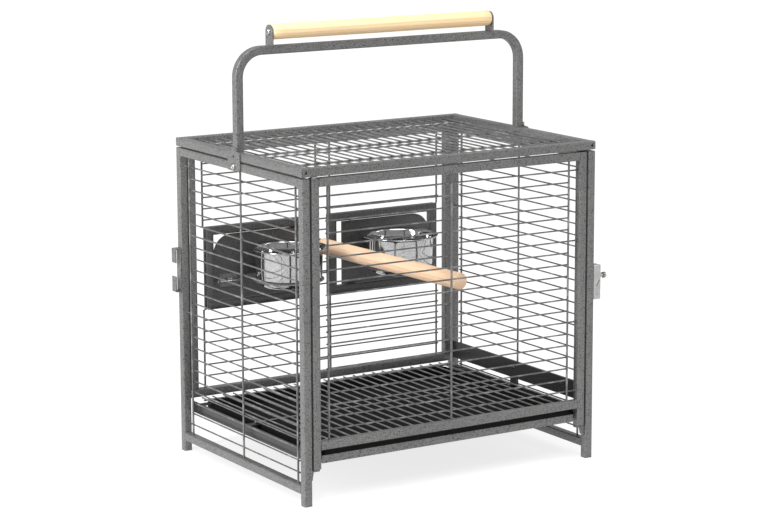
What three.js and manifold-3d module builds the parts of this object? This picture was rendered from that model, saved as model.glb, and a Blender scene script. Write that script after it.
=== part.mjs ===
// Travel carrier cage for a small bird: tube frame, wire panels, hinged front door, two swing-out
// feeder doors with bowls, slide-out tray, lift-out floor grate, perch and a bolted carrying handle.
// Millimetres, +Z up, front at -Y. The cage body is built around x = 0, y = 0 and shifted at the end so
// that the origin is under the middle of everything, latch knob and belt guide included.

import * as THREE from 'three';
import { mergeVertices } from 'three/addons/utils/BufferGeometryUtils.js';
import Module from 'manifold-3d';

const wasm = await Module();
wasm.setup();

// Driving sizes of the body
const WIDTH = 480;
const DEPTH = 360;
const POST_HEIGHT = 448;
const TUBE = 12;
const TUBE_WALL = 1;
const TUBE_CHAMFER = 1.2;
const FOOT_FLOOR = 2;
const LID_GAP = 2;
const WIRE = 2.25;
const BAR = 3;
const JOIN = 0.3;

const HALF_W = WIDTH / 2;
const HALF_D = DEPTH / 2;
const INNER_X = HALF_W - TUBE;
const INNER_Y = HALF_D - TUBE;
const MID_TUBE_X = HALF_W - TUBE / 2;
const MID_TUBE_Y = HALF_D - TUBE / 2;
const LID_BOTTOM = POST_HEIGHT + LID_GAP;
const LID_TOP = LID_BOTTOM + TUBE;
const LAYER = (BAR + WIRE) / 2;

// Side panels
const SIDE_RAIL_LOW = 16;
const SIDE_WIRE_COUNT = 24;
const SIDE_WIRE_LOW = 42;
const SIDE_WIRE_PITCH = 16.5;
const SIDE_BAR_Y = 152;
const WIRE_END_LAP = 2;

// Front door, hinged at the left, latched at the right
const DOOR_GAP = 2.6;
const DOOR_HALF = INNER_X - DOOR_GAP;
const DOOR_OPEN_HALF = DOOR_HALF - TUBE;
const DOOR_LOW = 50;
const DOOR_TOP = 447.6;
const SILL_LOW = 76;
const DOOR_BAR_X = 198;
const DOOR_WIRE_COUNT = 20;
const DOOR_WIRE_LOW = 101.5;
const DOOR_WIRE_PITCH = 16.85;
const DOOR_PIN_RADIUS = 4.6;
const TAB_THICK = 2.5;
const TAB_WEB = 14;
const TAB_WIDTH = 9;
const TAB_FRONT_Y = -177;

// Back panel
const BACK_RAIL_LOW = 78;
const BACK_STILE_GAP = 1;
const BACK_BAR_X = 202;
const BACK_MIDDLE_BAR_X = 12;

// Feeder frames and doors, given for the right one and mirrored for the left one
const FEEDER_INNER_X = 9;
const FEEDER_OUTER_X = 199;
const FEEDER_LOW = 206;
const FEEDER_HIGH = 328;
const FEEDER_BAND = 12;
const SHEET = 1.5;
const FEEDER_FACE_Y = HALF_D - 12;
const FEEDER_DEPTH = 10;
const PIVOT_X = 48;
const PIVOT_Y = 175;
const PIVOT_RADIUS = 2;
const FLAP_INNER_X = 31;
const FLAP_OUTER_X = 186;
const FLAP_LOW = 219;
const FLAP_HIGH = 315;
const FLAP_Y = 171;
const FLAP_THICK = 2;
const FLAP_CORNER = 29;
const SHELF_Z = 250.5;
const SHELF_HOLE = 46;
const SHELF_RADIUS = 51.5;
const SHELF_HALF = 44;
const BOWL_X = 95.5;
const BOWL_Y = 110;
const BOWL_RIM_Z = 299;
const BOWL_RIM_RADIUS = 57;
const BOWL_LOW = 241.5;
const BOLT_Y = 163;
const BOLT_Z = 247;
const BOLT_RADIUS = 2.5;
const BOLT_START_X = 146;
const BOLT_TIP_X = 184.5;
const BARREL_INNER_X = 147;
const BARREL_OUTER_X = 178;
const BARREL_HALF = 6;
const GUIDE_PLATE = 3;
const GUIDE_PLATE_HALF = 10;
const BOLT_KNOB_X = 158;
const BOLT_TRAVEL = 12;
const RUNNING_GAP = 0.5;

// Tray, guides, grate and seed guard
const GUIDE_LOW = 58;
const GUIDE_HIGH = 75;
const GUIDE_FACE_X = 227.5;
const GUIDE_TRAY_LEDGE = 30;
const GUIDE_TAB_REACH = 15;
const GUIDE_TAB_HALF = 6;
const GUIDE_TABS_Y = [-140, 0, 140];
const GUIDE_FRONT_Y = -165;
const GUIDE_BACK_Y = 165;
const TRAY_HALF = 208;
const TRAY_FRONT_Y = -174;
const TRAY_BACK_Y = 163;
const TRAY_LOW = 60;
const TRAY_HIGH = 72.5;
const TRAY_LIP_HALF = 210;
const TRAY_LIP_LOW = 56;
const TRAY_LIP_HIGH = 67;
const GRATE_HALF = 216;
const GRATE_FRONT_Y = -160;
const GRATE_BACK_Y = 160;
const GRATE_WIRES = 26;
const GRATE_REST = 0.125;
const GRATE_CROSS_Y = [-150, 0, 152];
const GUARD_LOW = 84;
const GUARD_HIGH = 110;

// Lid mesh
const LID_WIRES = 26;
const LID_WIRE_PITCH = 16.8;
const LID_WIRE_Z = 457.5;
const LID_CROSS_Y = [-112, 0, 112];

// Handle
const HANDLE_Y = 4;
const HANDLE_TOP = 606;
const HANDLE_RADIUS = 42;
const EAR_X = 182;
const EAR_THICK = 2;
const EAR_RADIUS = 10;
const GRIP_Z = 624.5;
const GRIP_RADIUS = 11;
const FOOT_PLATE_LOW = 436;
const FOOT_TONGUE = 7;
const FOOT_PLATE_HALF = 17;
const FOOT_BOLT_Z = 442;

// Perch
const PERCH_RADIUS = 12;
const PERCH_BACK = new THREE.Vector3(-5.2, 166.6, 282);
const PERCH_FRONT = new THREE.Vector3(21.5, -165, 280.5);

// Latch and belt guide, and how far each piece stands out of the body
const LATCH_Z = 266;
const LATCH_PIN_RADIUS = 2.5;
const LATCH_REACH = 24;
const LATCH_HOUSING_DEPTH = 12;
const LATCH_HOUSING_LOW = 233;
const LATCH_HOUSING_HIGH = 283;
const BELT_REACH = 10;
const BACK_REACH = 8;

const cage = new THREE.Group();

const powderCoat = { color: 0x6b6d6f, roughness: 0.55, metalness: 0.35 };
const wireCoat = { color: 0x8b8c8c, roughness: 0.5, metalness: 0.4 };
const sheetCoat = { color: 0x54575a, roughness: 0.55, metalness: 0.35 };
const blackCoat = { color: 0x141414, roughness: 0.5, metalness: 0.1 };
const zinc = { color: 0xc2c2be, roughness: 0.3, metalness: 0.9 };
const stainless = { color: 0xd6d8da, roughness: 0.1, metalness: 1.0 };
const pine = { color: 0xe8c896, roughness: 0.7, metalness: 0.0 };

function piece(name, geometry, finish) {
  const mesh = new THREE.Mesh(geometry, new THREE.MeshStandardMaterial(finish));
  mesh.name = name;
  cage.add(mesh);
  return mesh;
}

// ---- solids -------------------------------------------------------------------------------------

function solid(geometry) {
  const bare = geometry.clone();
  bare.deleteAttribute('normal');
  bare.deleteAttribute('uv');
  const merged = mergeVertices(bare, 1e-4);
  const corners = merged.index.array;
  const kept = [];
  for (let i = 0; i < corners.length; i += 3) {
    const [a, b, c] = [corners[i], corners[i + 1], corners[i + 2]];
    if (a !== b && b !== c && c !== a) kept.push(a, b, c);
  }
  const mesh = new wasm.Mesh({
    numProp: 3,
    vertProperties: new Float32Array(merged.attributes.position.array),
    triVerts: new Uint32Array(kept),
  });
  return new wasm.Manifold(mesh);
}

function toGeometry(manifold) {
  const mesh = manifold.getMesh();
  const geometry = new THREE.BufferGeometry();
  geometry.setAttribute('position', new THREE.BufferAttribute(new Float32Array(mesh.vertProperties), 3));
  geometry.setIndex(new THREE.BufferAttribute(new Uint32Array(mesh.triVerts), 1));
  geometry.computeVertexNormals();
  return geometry;
}

function join(geometries) {
  return geometries.map(solid).reduce((sum, next) => sum.add(next));
}

function cut(body, tools) {
  return tools.map(solid).reduce((rest, tool) => rest.subtract(tool), body);
}

function block(x0, x1, y0, y1, z0, z1) {
  const geometry = new THREE.BoxGeometry(x1 - x0, y1 - y0, z1 - z0);
  return geometry.translate((x0 + x1) / 2, (y0 + y1) / 2, (z0 + z1) / 2);
}

// A round bar between two points.
function rod(from, to, radius, sides = 16) {
  const along = new THREE.Vector3().subVectors(to, from);
  const geometry = new THREE.CylinderGeometry(radius, radius, along.length(), sides);
  const turn = new THREE.Quaternion().setFromUnitVectors(new THREE.Vector3(0, 1, 0), along.normalize());
  geometry.applyQuaternion(turn);
  const middle = new THREE.Vector3().addVectors(from, to).multiplyScalar(0.5);
  return geometry.translate(middle.x, middle.y, middle.z);
}

function point(x, y, z) {
  return new THREE.Vector3(x, y, z);
}

function squareOutline(half, chamfer) {
  const shape = new THREE.Shape();
  shape.moveTo(-half + chamfer, -half);
  shape.lineTo(half - chamfer, -half);
  shape.lineTo(half, -half + chamfer);
  shape.lineTo(half, half - chamfer);
  shape.lineTo(half - chamfer, half);
  shape.lineTo(-half + chamfer, half);
  shape.lineTo(-half, half - chamfer);
  shape.lineTo(-half, -half + chamfer);
  shape.closePath();
  return shape;
}

// Square tube, open at both ends, standing on the origin and pointing along +Z.
function tube(length) {
  const shape = squareOutline(TUBE / 2, TUBE_CHAMFER);
  const bore = TUBE / 2 - TUBE_WALL;
  const hole = new THREE.Path();
  hole.moveTo(-bore, -bore);
  hole.lineTo(-bore, bore);
  hole.lineTo(bore, bore);
  hole.lineTo(bore, -bore);
  hole.closePath();
  shape.holes.push(hole);
  return new THREE.ExtrudeGeometry(shape, { depth: length, bevelEnabled: false });
}

function tubeAlongX(x0, x1, y, z) {
  return tube(x1 - x0).rotateY(Math.PI / 2).translate(x0, y, z);
}

function tubeAlongY(y0, y1, x, z) {
  return tube(y1 - y0).rotateX(-Math.PI / 2).translate(x, y0, z);
}

function tubeAlongZ(z0, z1, x, y) {
  return tube(z1 - z0).translate(x, y, z0);
}

function barAlong(axis, from, to, centre, size) {
  const half = size / 2;
  const low = { x: centre.x - half, y: centre.y - half, z: centre.z - half };
  const high = { x: centre.x + half, y: centre.y + half, z: centre.z + half };
  low[axis] = from;
  high[axis] = to;
  return block(low.x, high.x, low.y, high.y, low.z, high.z);
}

// ---- frame --------------------------------------------------------------------------------------

// Corner post: open at the top under the lid, closed at the foot.
function cornerPost(x, y) {
  const shell = new THREE.ExtrudeGeometry(squareOutline(TUBE / 2, TUBE_CHAMFER), {
    depth: POST_HEIGHT,
    bevelEnabled: false,
  });
  shell.translate(x, y, 0);
  const bore = TUBE / 2 - TUBE_WALL;
  return cut(solid(shell), [block(x - bore, x + bore, y - bore, y + bore, FOOT_FLOOR, POST_HEIGHT + 1)]);
}

function addPosts() {
  piece('left_front_post', toGeometry(cornerPost(-MID_TUBE_X, -MID_TUBE_Y)), powderCoat);
  piece('left_back_post', toGeometry(cornerPost(-MID_TUBE_X, MID_TUBE_Y)), powderCoat);
  piece('right_back_post', toGeometry(cornerPost(MID_TUBE_X, MID_TUBE_Y)), powderCoat);
  const pinHole = rod(
    point(INNER_X - 1, -MID_TUBE_Y, LATCH_Z),
    point(HALF_W + 1, -MID_TUBE_Y, LATCH_Z),
    LATCH_PIN_RADIUS + RUNNING_GAP,
    12,
  );
  piece('right_front_post', toGeometry(cut(cornerPost(MID_TUBE_X, -MID_TUBE_Y), [pinHole])), powderCoat);
}

function addSideRails() {
  for (const [side, s] of [['left', -1], ['right', 1]]) {
    const low = tubeAlongY(-INNER_Y, INNER_Y, s * MID_TUBE_X, SIDE_RAIL_LOW + TUBE / 2);
    piece(`${side}_bottom_rail`, low, powderCoat);
    const high = tubeAlongY(-INNER_Y, INNER_Y, s * MID_TUBE_X, POST_HEIGHT - TUBE / 2);
    const boltHole = rod(
      point(s * (HALF_W - 2 * TUBE_WALL), HANDLE_Y, FOOT_BOLT_Z),
      point(s * (HALF_W + 1), HANDLE_Y, FOOT_BOLT_Z),
      2.8,
      12,
    );
    piece(`${side}_top_rail`, toGeometry(cut(solid(high), [boltHole])), powderCoat);
  }
}

function addSideWires() {
  const railTop = SIDE_RAIL_LOW + TUBE + JOIN;
  const railUnder = POST_HEIGHT - TUBE - JOIN;
  for (const [side, s] of [['left', -1], ['right', 1]]) {
    const bars = [-SIDE_BAR_Y, 0, SIDE_BAR_Y].map((y) => (
      barAlong('z', railTop, railUnder, point(s * MID_TUBE_X, y, 0), BAR)));
    for (let k = 0; k < SIDE_WIRE_COUNT; k += 1) {
      const reach = isTieWire(k, SIDE_WIRE_COUNT) ? INNER_Y - JOIN : SIDE_BAR_Y + WIRE_END_LAP;
      const centre = point(s * (MID_TUBE_X - LAYER), 0, SIDE_WIRE_LOW + k * SIDE_WIRE_PITCH);
      bars.push(barAlong('y', -reach, reach, centre, WIRE));
    }
    piece(`${side}_side_wires`, toGeometry(join(bars)), wireCoat);
  }
}

// Every seventh wire or so runs on to the frame and is welded to it.
function isTieWire(k, count) {
  return [0, 6, 13, count - 1].includes(count - 1 - k);
}

// ---- lid ----------------------------------------------------------------------------------------

function addLid() {
  const z = LID_BOTTOM + TUBE / 2;
  const front = tubeAlongX(-HALF_W, HALF_W, -MID_TUBE_Y, z);
  const screwHoles = [-1, 1].map((s) => (
    rod(point(s * MID_TUBE_X, -HALF_D - 1, z), point(s * MID_TUBE_X, -HALF_D + 3, z), 2.3, 12)));
  piece('lid_front_rail', toGeometry(cut(solid(front), screwHoles)), powderCoat);
  piece('lid_back_rail', tubeAlongX(-HALF_W, HALF_W, MID_TUBE_Y, z), powderCoat);
  piece('lid_left_rail', tubeAlongY(-INNER_Y, INNER_Y, -MID_TUBE_X, z), powderCoat);
  piece('lid_right_rail', tubeAlongY(-INNER_Y, INNER_Y, MID_TUBE_X, z), powderCoat);
  piece('lid_wires', toGeometry(lidWires()), wireCoat);
}

function lidWires() {
  const reachY = INNER_Y - JOIN;
  const reachX = INNER_X - JOIN;
  const bars = LID_CROSS_Y.map((y) => (
    barAlong('x', -reachX, reachX, point(0, y, LID_WIRE_Z - LAYER), BAR)));
  for (let k = 0; k < LID_WIRES; k += 1) {
    const x = (k - (LID_WIRES - 1) / 2) * LID_WIRE_PITCH;
    bars.push(barAlong('y', -reachY, reachY, point(x, 0, LID_WIRE_Z), WIRE));
  }
  return join(bars);
}

// ---- front door ---------------------------------------------------------------------------------

function addFrontDoor() {
  const stileX = DOOR_HALF - TUBE / 2;
  piece('door_left_stile', tubeAlongZ(DOOR_LOW, DOOR_TOP, -stileX, -MID_TUBE_Y), powderCoat);
  const strike = block(
    DOOR_HALF - 2 * TUBE_WALL, DOOR_HALF + 1,
    -MID_TUBE_Y - 3.2, -MID_TUBE_Y + 3.2,
    LATCH_Z - 3.2, LATCH_Z + 3.2,
  );
  const right = cut(solid(tubeAlongZ(DOOR_LOW, DOOR_TOP, stileX, -MID_TUBE_Y)), [strike]);
  piece('door_right_stile', toGeometry(right), powderCoat);
  const railX = DOOR_OPEN_HALF;
  piece('door_top_rail', tubeAlongX(-railX, railX, -MID_TUBE_Y, DOOR_TOP - TUBE / 2), powderCoat);
  piece('door_sill', tubeAlongX(-railX, railX, -MID_TUBE_Y, SILL_LOW + TUBE / 2), powderCoat);
  piece('door_wires', toGeometry(doorWires()), wireCoat);

  // Pivot pins in the hollow of the hinge stile: one hangs from the lid, one stands on the lower tab.
  const pivot = (z0, z1) => (
    rod(point(-stileX, -MID_TUBE_Y, z0), point(-stileX, -MID_TUBE_Y, z1), DOOR_PIN_RADIUS, 16));
  piece('door_upper_pin', pivot(DOOR_TOP - 10, LID_BOTTOM), zinc);
  piece('door_pivot_tab', toGeometry(join([pivot(DOOR_LOW - 2, DOOR_LOW + 10), pivotTab(-1)])), powderCoat);
  piece('door_rest_tab', pivotTab(1), powderCoat);
}

// Thin tab on the inner side of a front post, under a door stile, with a small web below it.
function pivotTab(s) {
  const top = DOOR_LOW - 1;
  const shape = new THREE.Shape();
  shape.moveTo(s * INNER_X, top);
  shape.lineTo(s * (DOOR_OPEN_HALF + 1), top);
  shape.lineTo(s * (DOOR_OPEN_HALF + 1), top - TAB_THICK);
  shape.lineTo(s * (INNER_X - 4), top - TAB_THICK);
  shape.lineTo(s * (INNER_X - 2), top - TAB_WEB);
  shape.lineTo(s * INNER_X, top - TAB_WEB);
  shape.closePath();
  const tab = new THREE.ExtrudeGeometry(shape, { depth: TAB_WIDTH, bevelEnabled: false });
  return tab.rotateX(Math.PI / 2).translate(0, TAB_FRONT_Y + TAB_WIDTH, 0);
}

function doorWires() {
  const bars = [-DOOR_BAR_X, 0, DOOR_BAR_X].map((x) => (
    barAlong('z', SILL_LOW + TUBE + JOIN, DOOR_TOP - TUBE - JOIN, point(x, -MID_TUBE_Y, 0), BAR)));
  for (let k = 0; k < DOOR_WIRE_COUNT; k += 1) {
    const reach = isTieWire(k, DOOR_WIRE_COUNT) ? DOOR_OPEN_HALF - JOIN : DOOR_BAR_X + WIRE_END_LAP;
    const centre = point(0, -MID_TUBE_Y + LAYER, DOOR_WIRE_LOW + k * DOOR_WIRE_PITCH);
    bars.push(barAlong('x', -reach, reach, centre, WIRE));
  }
  return join(bars);
}

// ---- back panel ---------------------------------------------------------------------------------

function addBackPanel() {
  const railReach = INNER_X;
  const topRail = tubeAlongX(-railReach, railReach, MID_TUBE_Y, POST_HEIGHT - TUBE / 2);
  const bottomRail = tubeAlongX(-railReach, railReach, MID_TUBE_Y, BACK_RAIL_LOW + TUBE / 2);
  piece('back_top_rail', topRail, powderCoat);
  piece('back_bottom_rail', bottomRail, powderCoat);
  const stileX = INNER_X - BACK_STILE_GAP - TUBE / 2;
  for (const [side, s] of [['left', -1], ['right', 1]]) {
    const stile = tubeAlongZ(BACK_RAIL_LOW + TUBE, POST_HEIGHT - TUBE, s * stileX, MID_TUBE_Y);
    piece(`back_${side}_stile`, stile, powderCoat);
  }
  const low = BACK_RAIL_LOW + TUBE + JOIN;
  const high = POST_HEIGHT - TUBE - JOIN;
  piece('back_lower_wires', toGeometry(backGrid(low, FEEDER_LOW - JOIN)), wireCoat);
  piece('back_upper_wires', toGeometry(backGrid(FEEDER_HIGH + JOIN, high)), wireCoat);
  piece('back_middle_wires', toGeometry(join(middleWires())), wireCoat);
}

function wireHeightsBetween(low, high) {
  const heights = [];
  for (let k = 0; k < SIDE_WIRE_COUNT; k += 1) {
    const z = SIDE_WIRE_LOW + k * SIDE_WIRE_PITCH;
    if (z - WIRE > low && z + WIRE < high) heights.push(z);
  }
  return heights;
}

function backGrid(low, high) {
  const bars = [-BACK_BAR_X, -BACK_MIDDLE_BAR_X, BACK_MIDDLE_BAR_X, BACK_BAR_X].map((x) => (
    barAlong('z', low, high, point(x, MID_TUBE_Y, 0), BAR)));
  const reach = BACK_BAR_X + WIRE_END_LAP;
  for (const z of wireHeightsBetween(low, high)) {
    bars.push(barAlong('x', -reach, reach, point(0, MID_TUBE_Y - LAYER, z), WIRE));
  }
  return join(bars);
}

// Short cross wires between the two feeder frames, on an upright beside the right frame.
function middleWires() {
  const reach = FEEDER_INNER_X - JOIN;
  const upright = point(reach - BAR / 2, MID_TUBE_Y, 0);
  const bars = [barAlong('z', FEEDER_LOW, FEEDER_HIGH, upright, BAR)];
  for (const z of wireHeightsBetween(FEEDER_LOW, FEEDER_HIGH)) {
    bars.push(barAlong('x', -reach, reach, point(0, MID_TUBE_Y - LAYER, z), WIRE));
  }
  return bars;
}

// ---- feeders ------------------------------------------------------------------------------------

function ringBlock(s, inset, y0, y1) {
  return block(
    Math.min(s * (FEEDER_INNER_X + inset), s * (FEEDER_OUTER_X - inset)),
    Math.max(s * (FEEDER_INNER_X + inset), s * (FEEDER_OUTER_X - inset)),
    y0, y1,
    FEEDER_LOW + inset, FEEDER_HIGH - inset,
  );
}

// Folded sheet frame, a channel open to the back, with the panel's outer upright welded to it.
function feederFrame(s) {
  const front = FEEDER_FACE_Y;
  const back = FEEDER_FACE_Y + FEEDER_DEPTH;
  const channel = solid(ringBlock(s, 0, front, back));
  const hollow = solid(ringBlock(s, SHEET, front + SHEET, back + 1));
  const lip = solid(ringBlock(s, FEEDER_BAND - SHEET, front, back));
  const opening = solid(ringBlock(s, FEEDER_BAND, front - 1, back + 1));
  const x = s * (FEEDER_OUTER_X + BAR / 2 - 0.5);
  const upright = barAlong('z', FEEDER_LOW, FEEDER_HIGH, point(x, MID_TUBE_Y - 1, 0), BAR);
  const pinHoles = [FEEDER_LOW + FEEDER_BAND, FEEDER_HIGH - FEEDER_BAND].map((z) => (
    rod(point(s * PIVOT_X, PIVOT_Y, z - 4), point(s * PIVOT_X, PIVOT_Y, z + 4), PIVOT_RADIUS + JOIN, 12)));
  const ring = channel.subtract(hollow).add(lip).subtract(opening).add(solid(upright));
  return cut(ring, pinHoles);
}

// Outline of a feeder flap: a plate with one large rounded corner at its free top end.
function flapOutline(s) {
  const shape = new THREE.Shape();
  const x0 = s * FLAP_INNER_X;
  const x1 = s * FLAP_OUTER_X;
  shape.moveTo(x0, FLAP_LOW);
  shape.lineTo(x1, FLAP_LOW);
  shape.lineTo(x1, FLAP_HIGH - FLAP_CORNER);
  const steps = 8;
  for (let k = 1; k <= steps; k += 1) {
    const angle = (k / steps) * (Math.PI / 2);
    const across = FLAP_CORNER * (1 - Math.cos(angle));
    shape.lineTo(x1 - s * across, FLAP_HIGH - FLAP_CORNER + FLAP_CORNER * Math.sin(angle));
  }
  shape.lineTo(x0, FLAP_HIGH);
  shape.closePath();
  return shape;
}

function feederFlap(s) {
  const plate = new THREE.ExtrudeGeometry(flapOutline(s), { depth: FLAP_THICK, bevelEnabled: false });
  plate.rotateX(Math.PI / 2).translate(0, FLAP_Y + FLAP_THICK, 0);
  const shelfRound = new THREE.CylinderGeometry(SHELF_RADIUS, SHELF_RADIUS, FLAP_THICK, 40);
  shelfRound.rotateX(Math.PI / 2).translate(s * BOWL_X, BOWL_Y, SHELF_Z + FLAP_THICK / 2);
  const shelfNeck = block(
    s * BOWL_X - SHELF_HALF, s * BOWL_X + SHELF_HALF,
    BOWL_Y, FLAP_Y + 1,
    SHELF_Z, SHELF_Z + FLAP_THICK,
  );
  const tabs = [FLAP_LOW, FLAP_HIGH - FLAP_THICK].map((z) => (
    block(s * PIVOT_X - 8, s * PIVOT_X + 8, FLAP_Y, PIVOT_Y + 4, z, z + FLAP_THICK)));
  const barrelX = s * (BARREL_INNER_X + BARREL_OUTER_X) / 2;
  const barrelHalf = (BARREL_OUTER_X - BARREL_INNER_X) / 2 + 0.5;
  const barrel = block(
    barrelX - barrelHalf, barrelX + barrelHalf,
    BOLT_Y - 5, FLAP_Y + 1,
    BOLT_Z - BARREL_HALF, BOLT_Z + BARREL_HALF,
  );
  const guideX = s * (BARREL_OUTER_X + GUIDE_PLATE / 2);
  const guide = block(
    guideX - GUIDE_PLATE / 2, guideX + GUIDE_PLATE / 2,
    BOLT_Y - 6, FLAP_Y + 1,
    BOLT_Z - GUIDE_PLATE_HALF, BOLT_Z + GUIDE_PLATE_HALF,
  );
  const body = join([plate, shelfRound, shelfNeck, ...tabs, barrel, guide]);
  const bowlHole = new THREE.CylinderGeometry(SHELF_HOLE, SHELF_HOLE, 4 * FLAP_THICK, 40);
  bowlHole.rotateX(Math.PI / 2).translate(s * BOWL_X, BOWL_Y, SHELF_Z);
  const pinHole = rod(
    point(s * PIVOT_X, PIVOT_Y, FLAP_LOW - 1),
    point(s * PIVOT_X, PIVOT_Y, FLAP_HIGH + 1),
    PIVOT_RADIUS + JOIN,
    12,
  );
  const boltHole = rod(
    point(s * (BOLT_START_X - 6), BOLT_Y, BOLT_Z),
    point(s * BOLT_TIP_X, BOLT_Y, BOLT_Z),
    BOLT_RADIUS + JOIN,
    12,
  );
  const slotX = s * (BOLT_KNOB_X + BOLT_TRAVEL / 2);
  const slotHalf = BOLT_TRAVEL / 2 + 2.5;
  const knobSlot = block(
    slotX - slotHalf, slotX + slotHalf,
    BOLT_Y, FLAP_Y + FLAP_THICK + 1,
    BOLT_Z - 2.3, BOLT_Z + 2.3,
  );
  return cut(body, [bowlHole, pinHole, boltHole, knobSlot]);
}

// Slide bolt: rod in the barrel on the flap, with a knob that comes out through the flap's slot.
function feederBolt(s) {
  const knobFace = HALF_D + BACK_REACH;
  const stemX = s * BOLT_KNOB_X;
  return join([
    rod(point(s * BOLT_START_X, BOLT_Y, BOLT_Z), point(s * BOLT_TIP_X, BOLT_Y, BOLT_Z), BOLT_RADIUS, 12),
    rod(point(stemX, BOLT_Y, BOLT_Z), point(stemX, knobFace - 4, BOLT_Z), 1.8, 10),
    rod(point(stemX, knobFace - 6, BOLT_Z), point(stemX, knobFace, BOLT_Z), 5, 16),
  ]);
}

// Cup with a flat flange for a rim and a step that rests on the shelf.
function bowl(s) {
  const step = SHELF_Z + FLAP_THICK + 0.2;
  const profile = [
    [0, BOWL_LOW], [38, BOWL_LOW], [43, BOWL_LOW + 3], [43.5, step],
    [48.5, step], [49.5, BOWL_RIM_Z - 1.5], [BOWL_RIM_RADIUS, BOWL_RIM_Z - 2],
    [BOWL_RIM_RADIUS, BOWL_RIM_Z - 0.5], [48.8, BOWL_RIM_Z], [47.4, step + 1.4],
    [42.4, step + 1.4], [42, BOWL_LOW + 3.4], [37.6, BOWL_LOW + 1], [0, BOWL_LOW + 1],
  ].map(([r, z]) => new THREE.Vector2(r, z));
  const lathe = new THREE.LatheGeometry(profile, 24);
  return lathe.rotateX(Math.PI / 2).translate(s * BOWL_X, BOWL_Y, 0);
}

function addFeeders() {
  for (const [side, s] of [['left', -1], ['right', 1]]) {
    piece(`${side}_feeder_frame`, toGeometry(feederFrame(s)), sheetCoat);
    piece(`${side}_feeder_flap`, toGeometry(feederFlap(s)), sheetCoat);
    piece(`${side}_feeder_bolt`, toGeometry(feederBolt(s)), zinc);
    piece(`${side}_bowl`, bowl(s), stainless);
    const low = FEEDER_LOW + FEEDER_BAND;
    const high = FEEDER_HIGH - FEEDER_BAND;
    piece(`${side}_feeder_lower_pin`, toGeometry(pivotScrew(s, low, 1)), zinc);
    piece(`${side}_feeder_upper_pin`, toGeometry(pivotScrew(s, high, -1)), zinc);
  }
}

// Pivot screw: its head lies in the channel and its shank runs through the lip into the flap's tab.
function pivotScrew(s, lipZ, inward) {
  const shankTip = lipZ + inward * 7;
  const headFace = lipZ - inward * (SHEET + JOIN);
  const headTop = headFace - inward * 2;
  return join([
    rod(point(s * PIVOT_X, PIVOT_Y, headTop), point(s * PIVOT_X, PIVOT_Y, shankTip), PIVOT_RADIUS, 12),
    rod(point(s * PIVOT_X, PIVOT_Y, headTop), point(s * PIVOT_X, PIVOT_Y, headFace), 2.8, 12),
  ]);
}

// ---- tray, guides and grate ---------------------------------------------------------------------

// Angle guide: the ledge carries the tray and the tabs bent in at the top carry the grate.
function trayGuide(s) {
  const plate = (width, y0, y1, low, high) => {
    const faces = [s * GUIDE_FACE_X, s * (GUIDE_FACE_X - width)];
    return block(Math.min(...faces), Math.max(...faces), y0, y1, low, high);
  };
  const tabs = GUIDE_TABS_Y.map((y) => (
    plate(GUIDE_TAB_REACH, y - GUIDE_TAB_HALF, y + GUIDE_TAB_HALF, GUIDE_HIGH - SHEET, GUIDE_HIGH)));
  return join([
    plate(SHEET, GUIDE_FRONT_Y, GUIDE_BACK_Y, GUIDE_LOW, GUIDE_HIGH),
    plate(GUIDE_TRAY_LEDGE, GUIDE_FRONT_Y, GUIDE_BACK_Y, GUIDE_LOW, GUIDE_LOW + SHEET),
    ...tabs,
  ]);
}

function tray() {
  const wall = 1.2;
  const front = TRAY_FRONT_Y + wall;
  const pan = solid(block(-TRAY_HALF, TRAY_HALF, front - wall / 2, TRAY_BACK_Y, TRAY_LOW, TRAY_HIGH));
  const lip = solid(block(
    -TRAY_LIP_HALF, TRAY_LIP_HALF,
    TRAY_FRONT_Y, front,
    TRAY_LIP_LOW, TRAY_LIP_HIGH,
  ));
  const room = block(
    -TRAY_HALF + wall, TRAY_HALF - wall,
    front + 0.4, TRAY_BACK_Y - wall,
    TRAY_LOW + wall, TRAY_HIGH + 1,
  );
  return cut(pan.add(lip), [room]);
}

function floorGrate() {
  const bars = GRATE_CROSS_Y.map((y) => (
    barAlong('x', -GRATE_HALF, GRATE_HALF, point(0, y, GUIDE_HIGH + GRATE_REST + BAR / 2), BAR)));
  const pitch = (2 * GRATE_HALF - WIRE) / (GRATE_WIRES - 1);
  for (let k = 0; k < GRATE_WIRES; k += 1) {
    const x = (k - (GRATE_WIRES - 1) / 2) * pitch;
    const z = GUIDE_HIGH + GRATE_REST + BAR / 2 + LAYER;
    bars.push(barAlong('y', GRATE_FRONT_Y, GRATE_BACK_Y, point(x, 0, z), WIRE));
  }
  return join(bars);
}

// Strip of sheet inside the right wires that keeps seed in, with a tab down to the guide.
function seedGuard() {
  const x1 = GUIDE_FACE_X;
  return join([
    block(x1 - SHEET, x1, GUIDE_FRONT_Y, GUIDE_BACK_Y, GUARD_LOW, GUARD_HIGH),
    block(x1 - SHEET, x1, -8, 8, GUIDE_HIGH, GUARD_LOW + 1),
  ]);
}

function addFloor() {
  piece('left_tray_guide', toGeometry(trayGuide(-1)), powderCoat);
  piece('right_tray_guide', toGeometry(trayGuide(1)), powderCoat);
  piece('seed_guard', toGeometry(seedGuard()), powderCoat);
  piece('tray', toGeometry(tray()), blackCoat);
  piece('floor_grate', toGeometry(floorGrate()), wireCoat);
}

// ---- handle -------------------------------------------------------------------------------------

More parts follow.
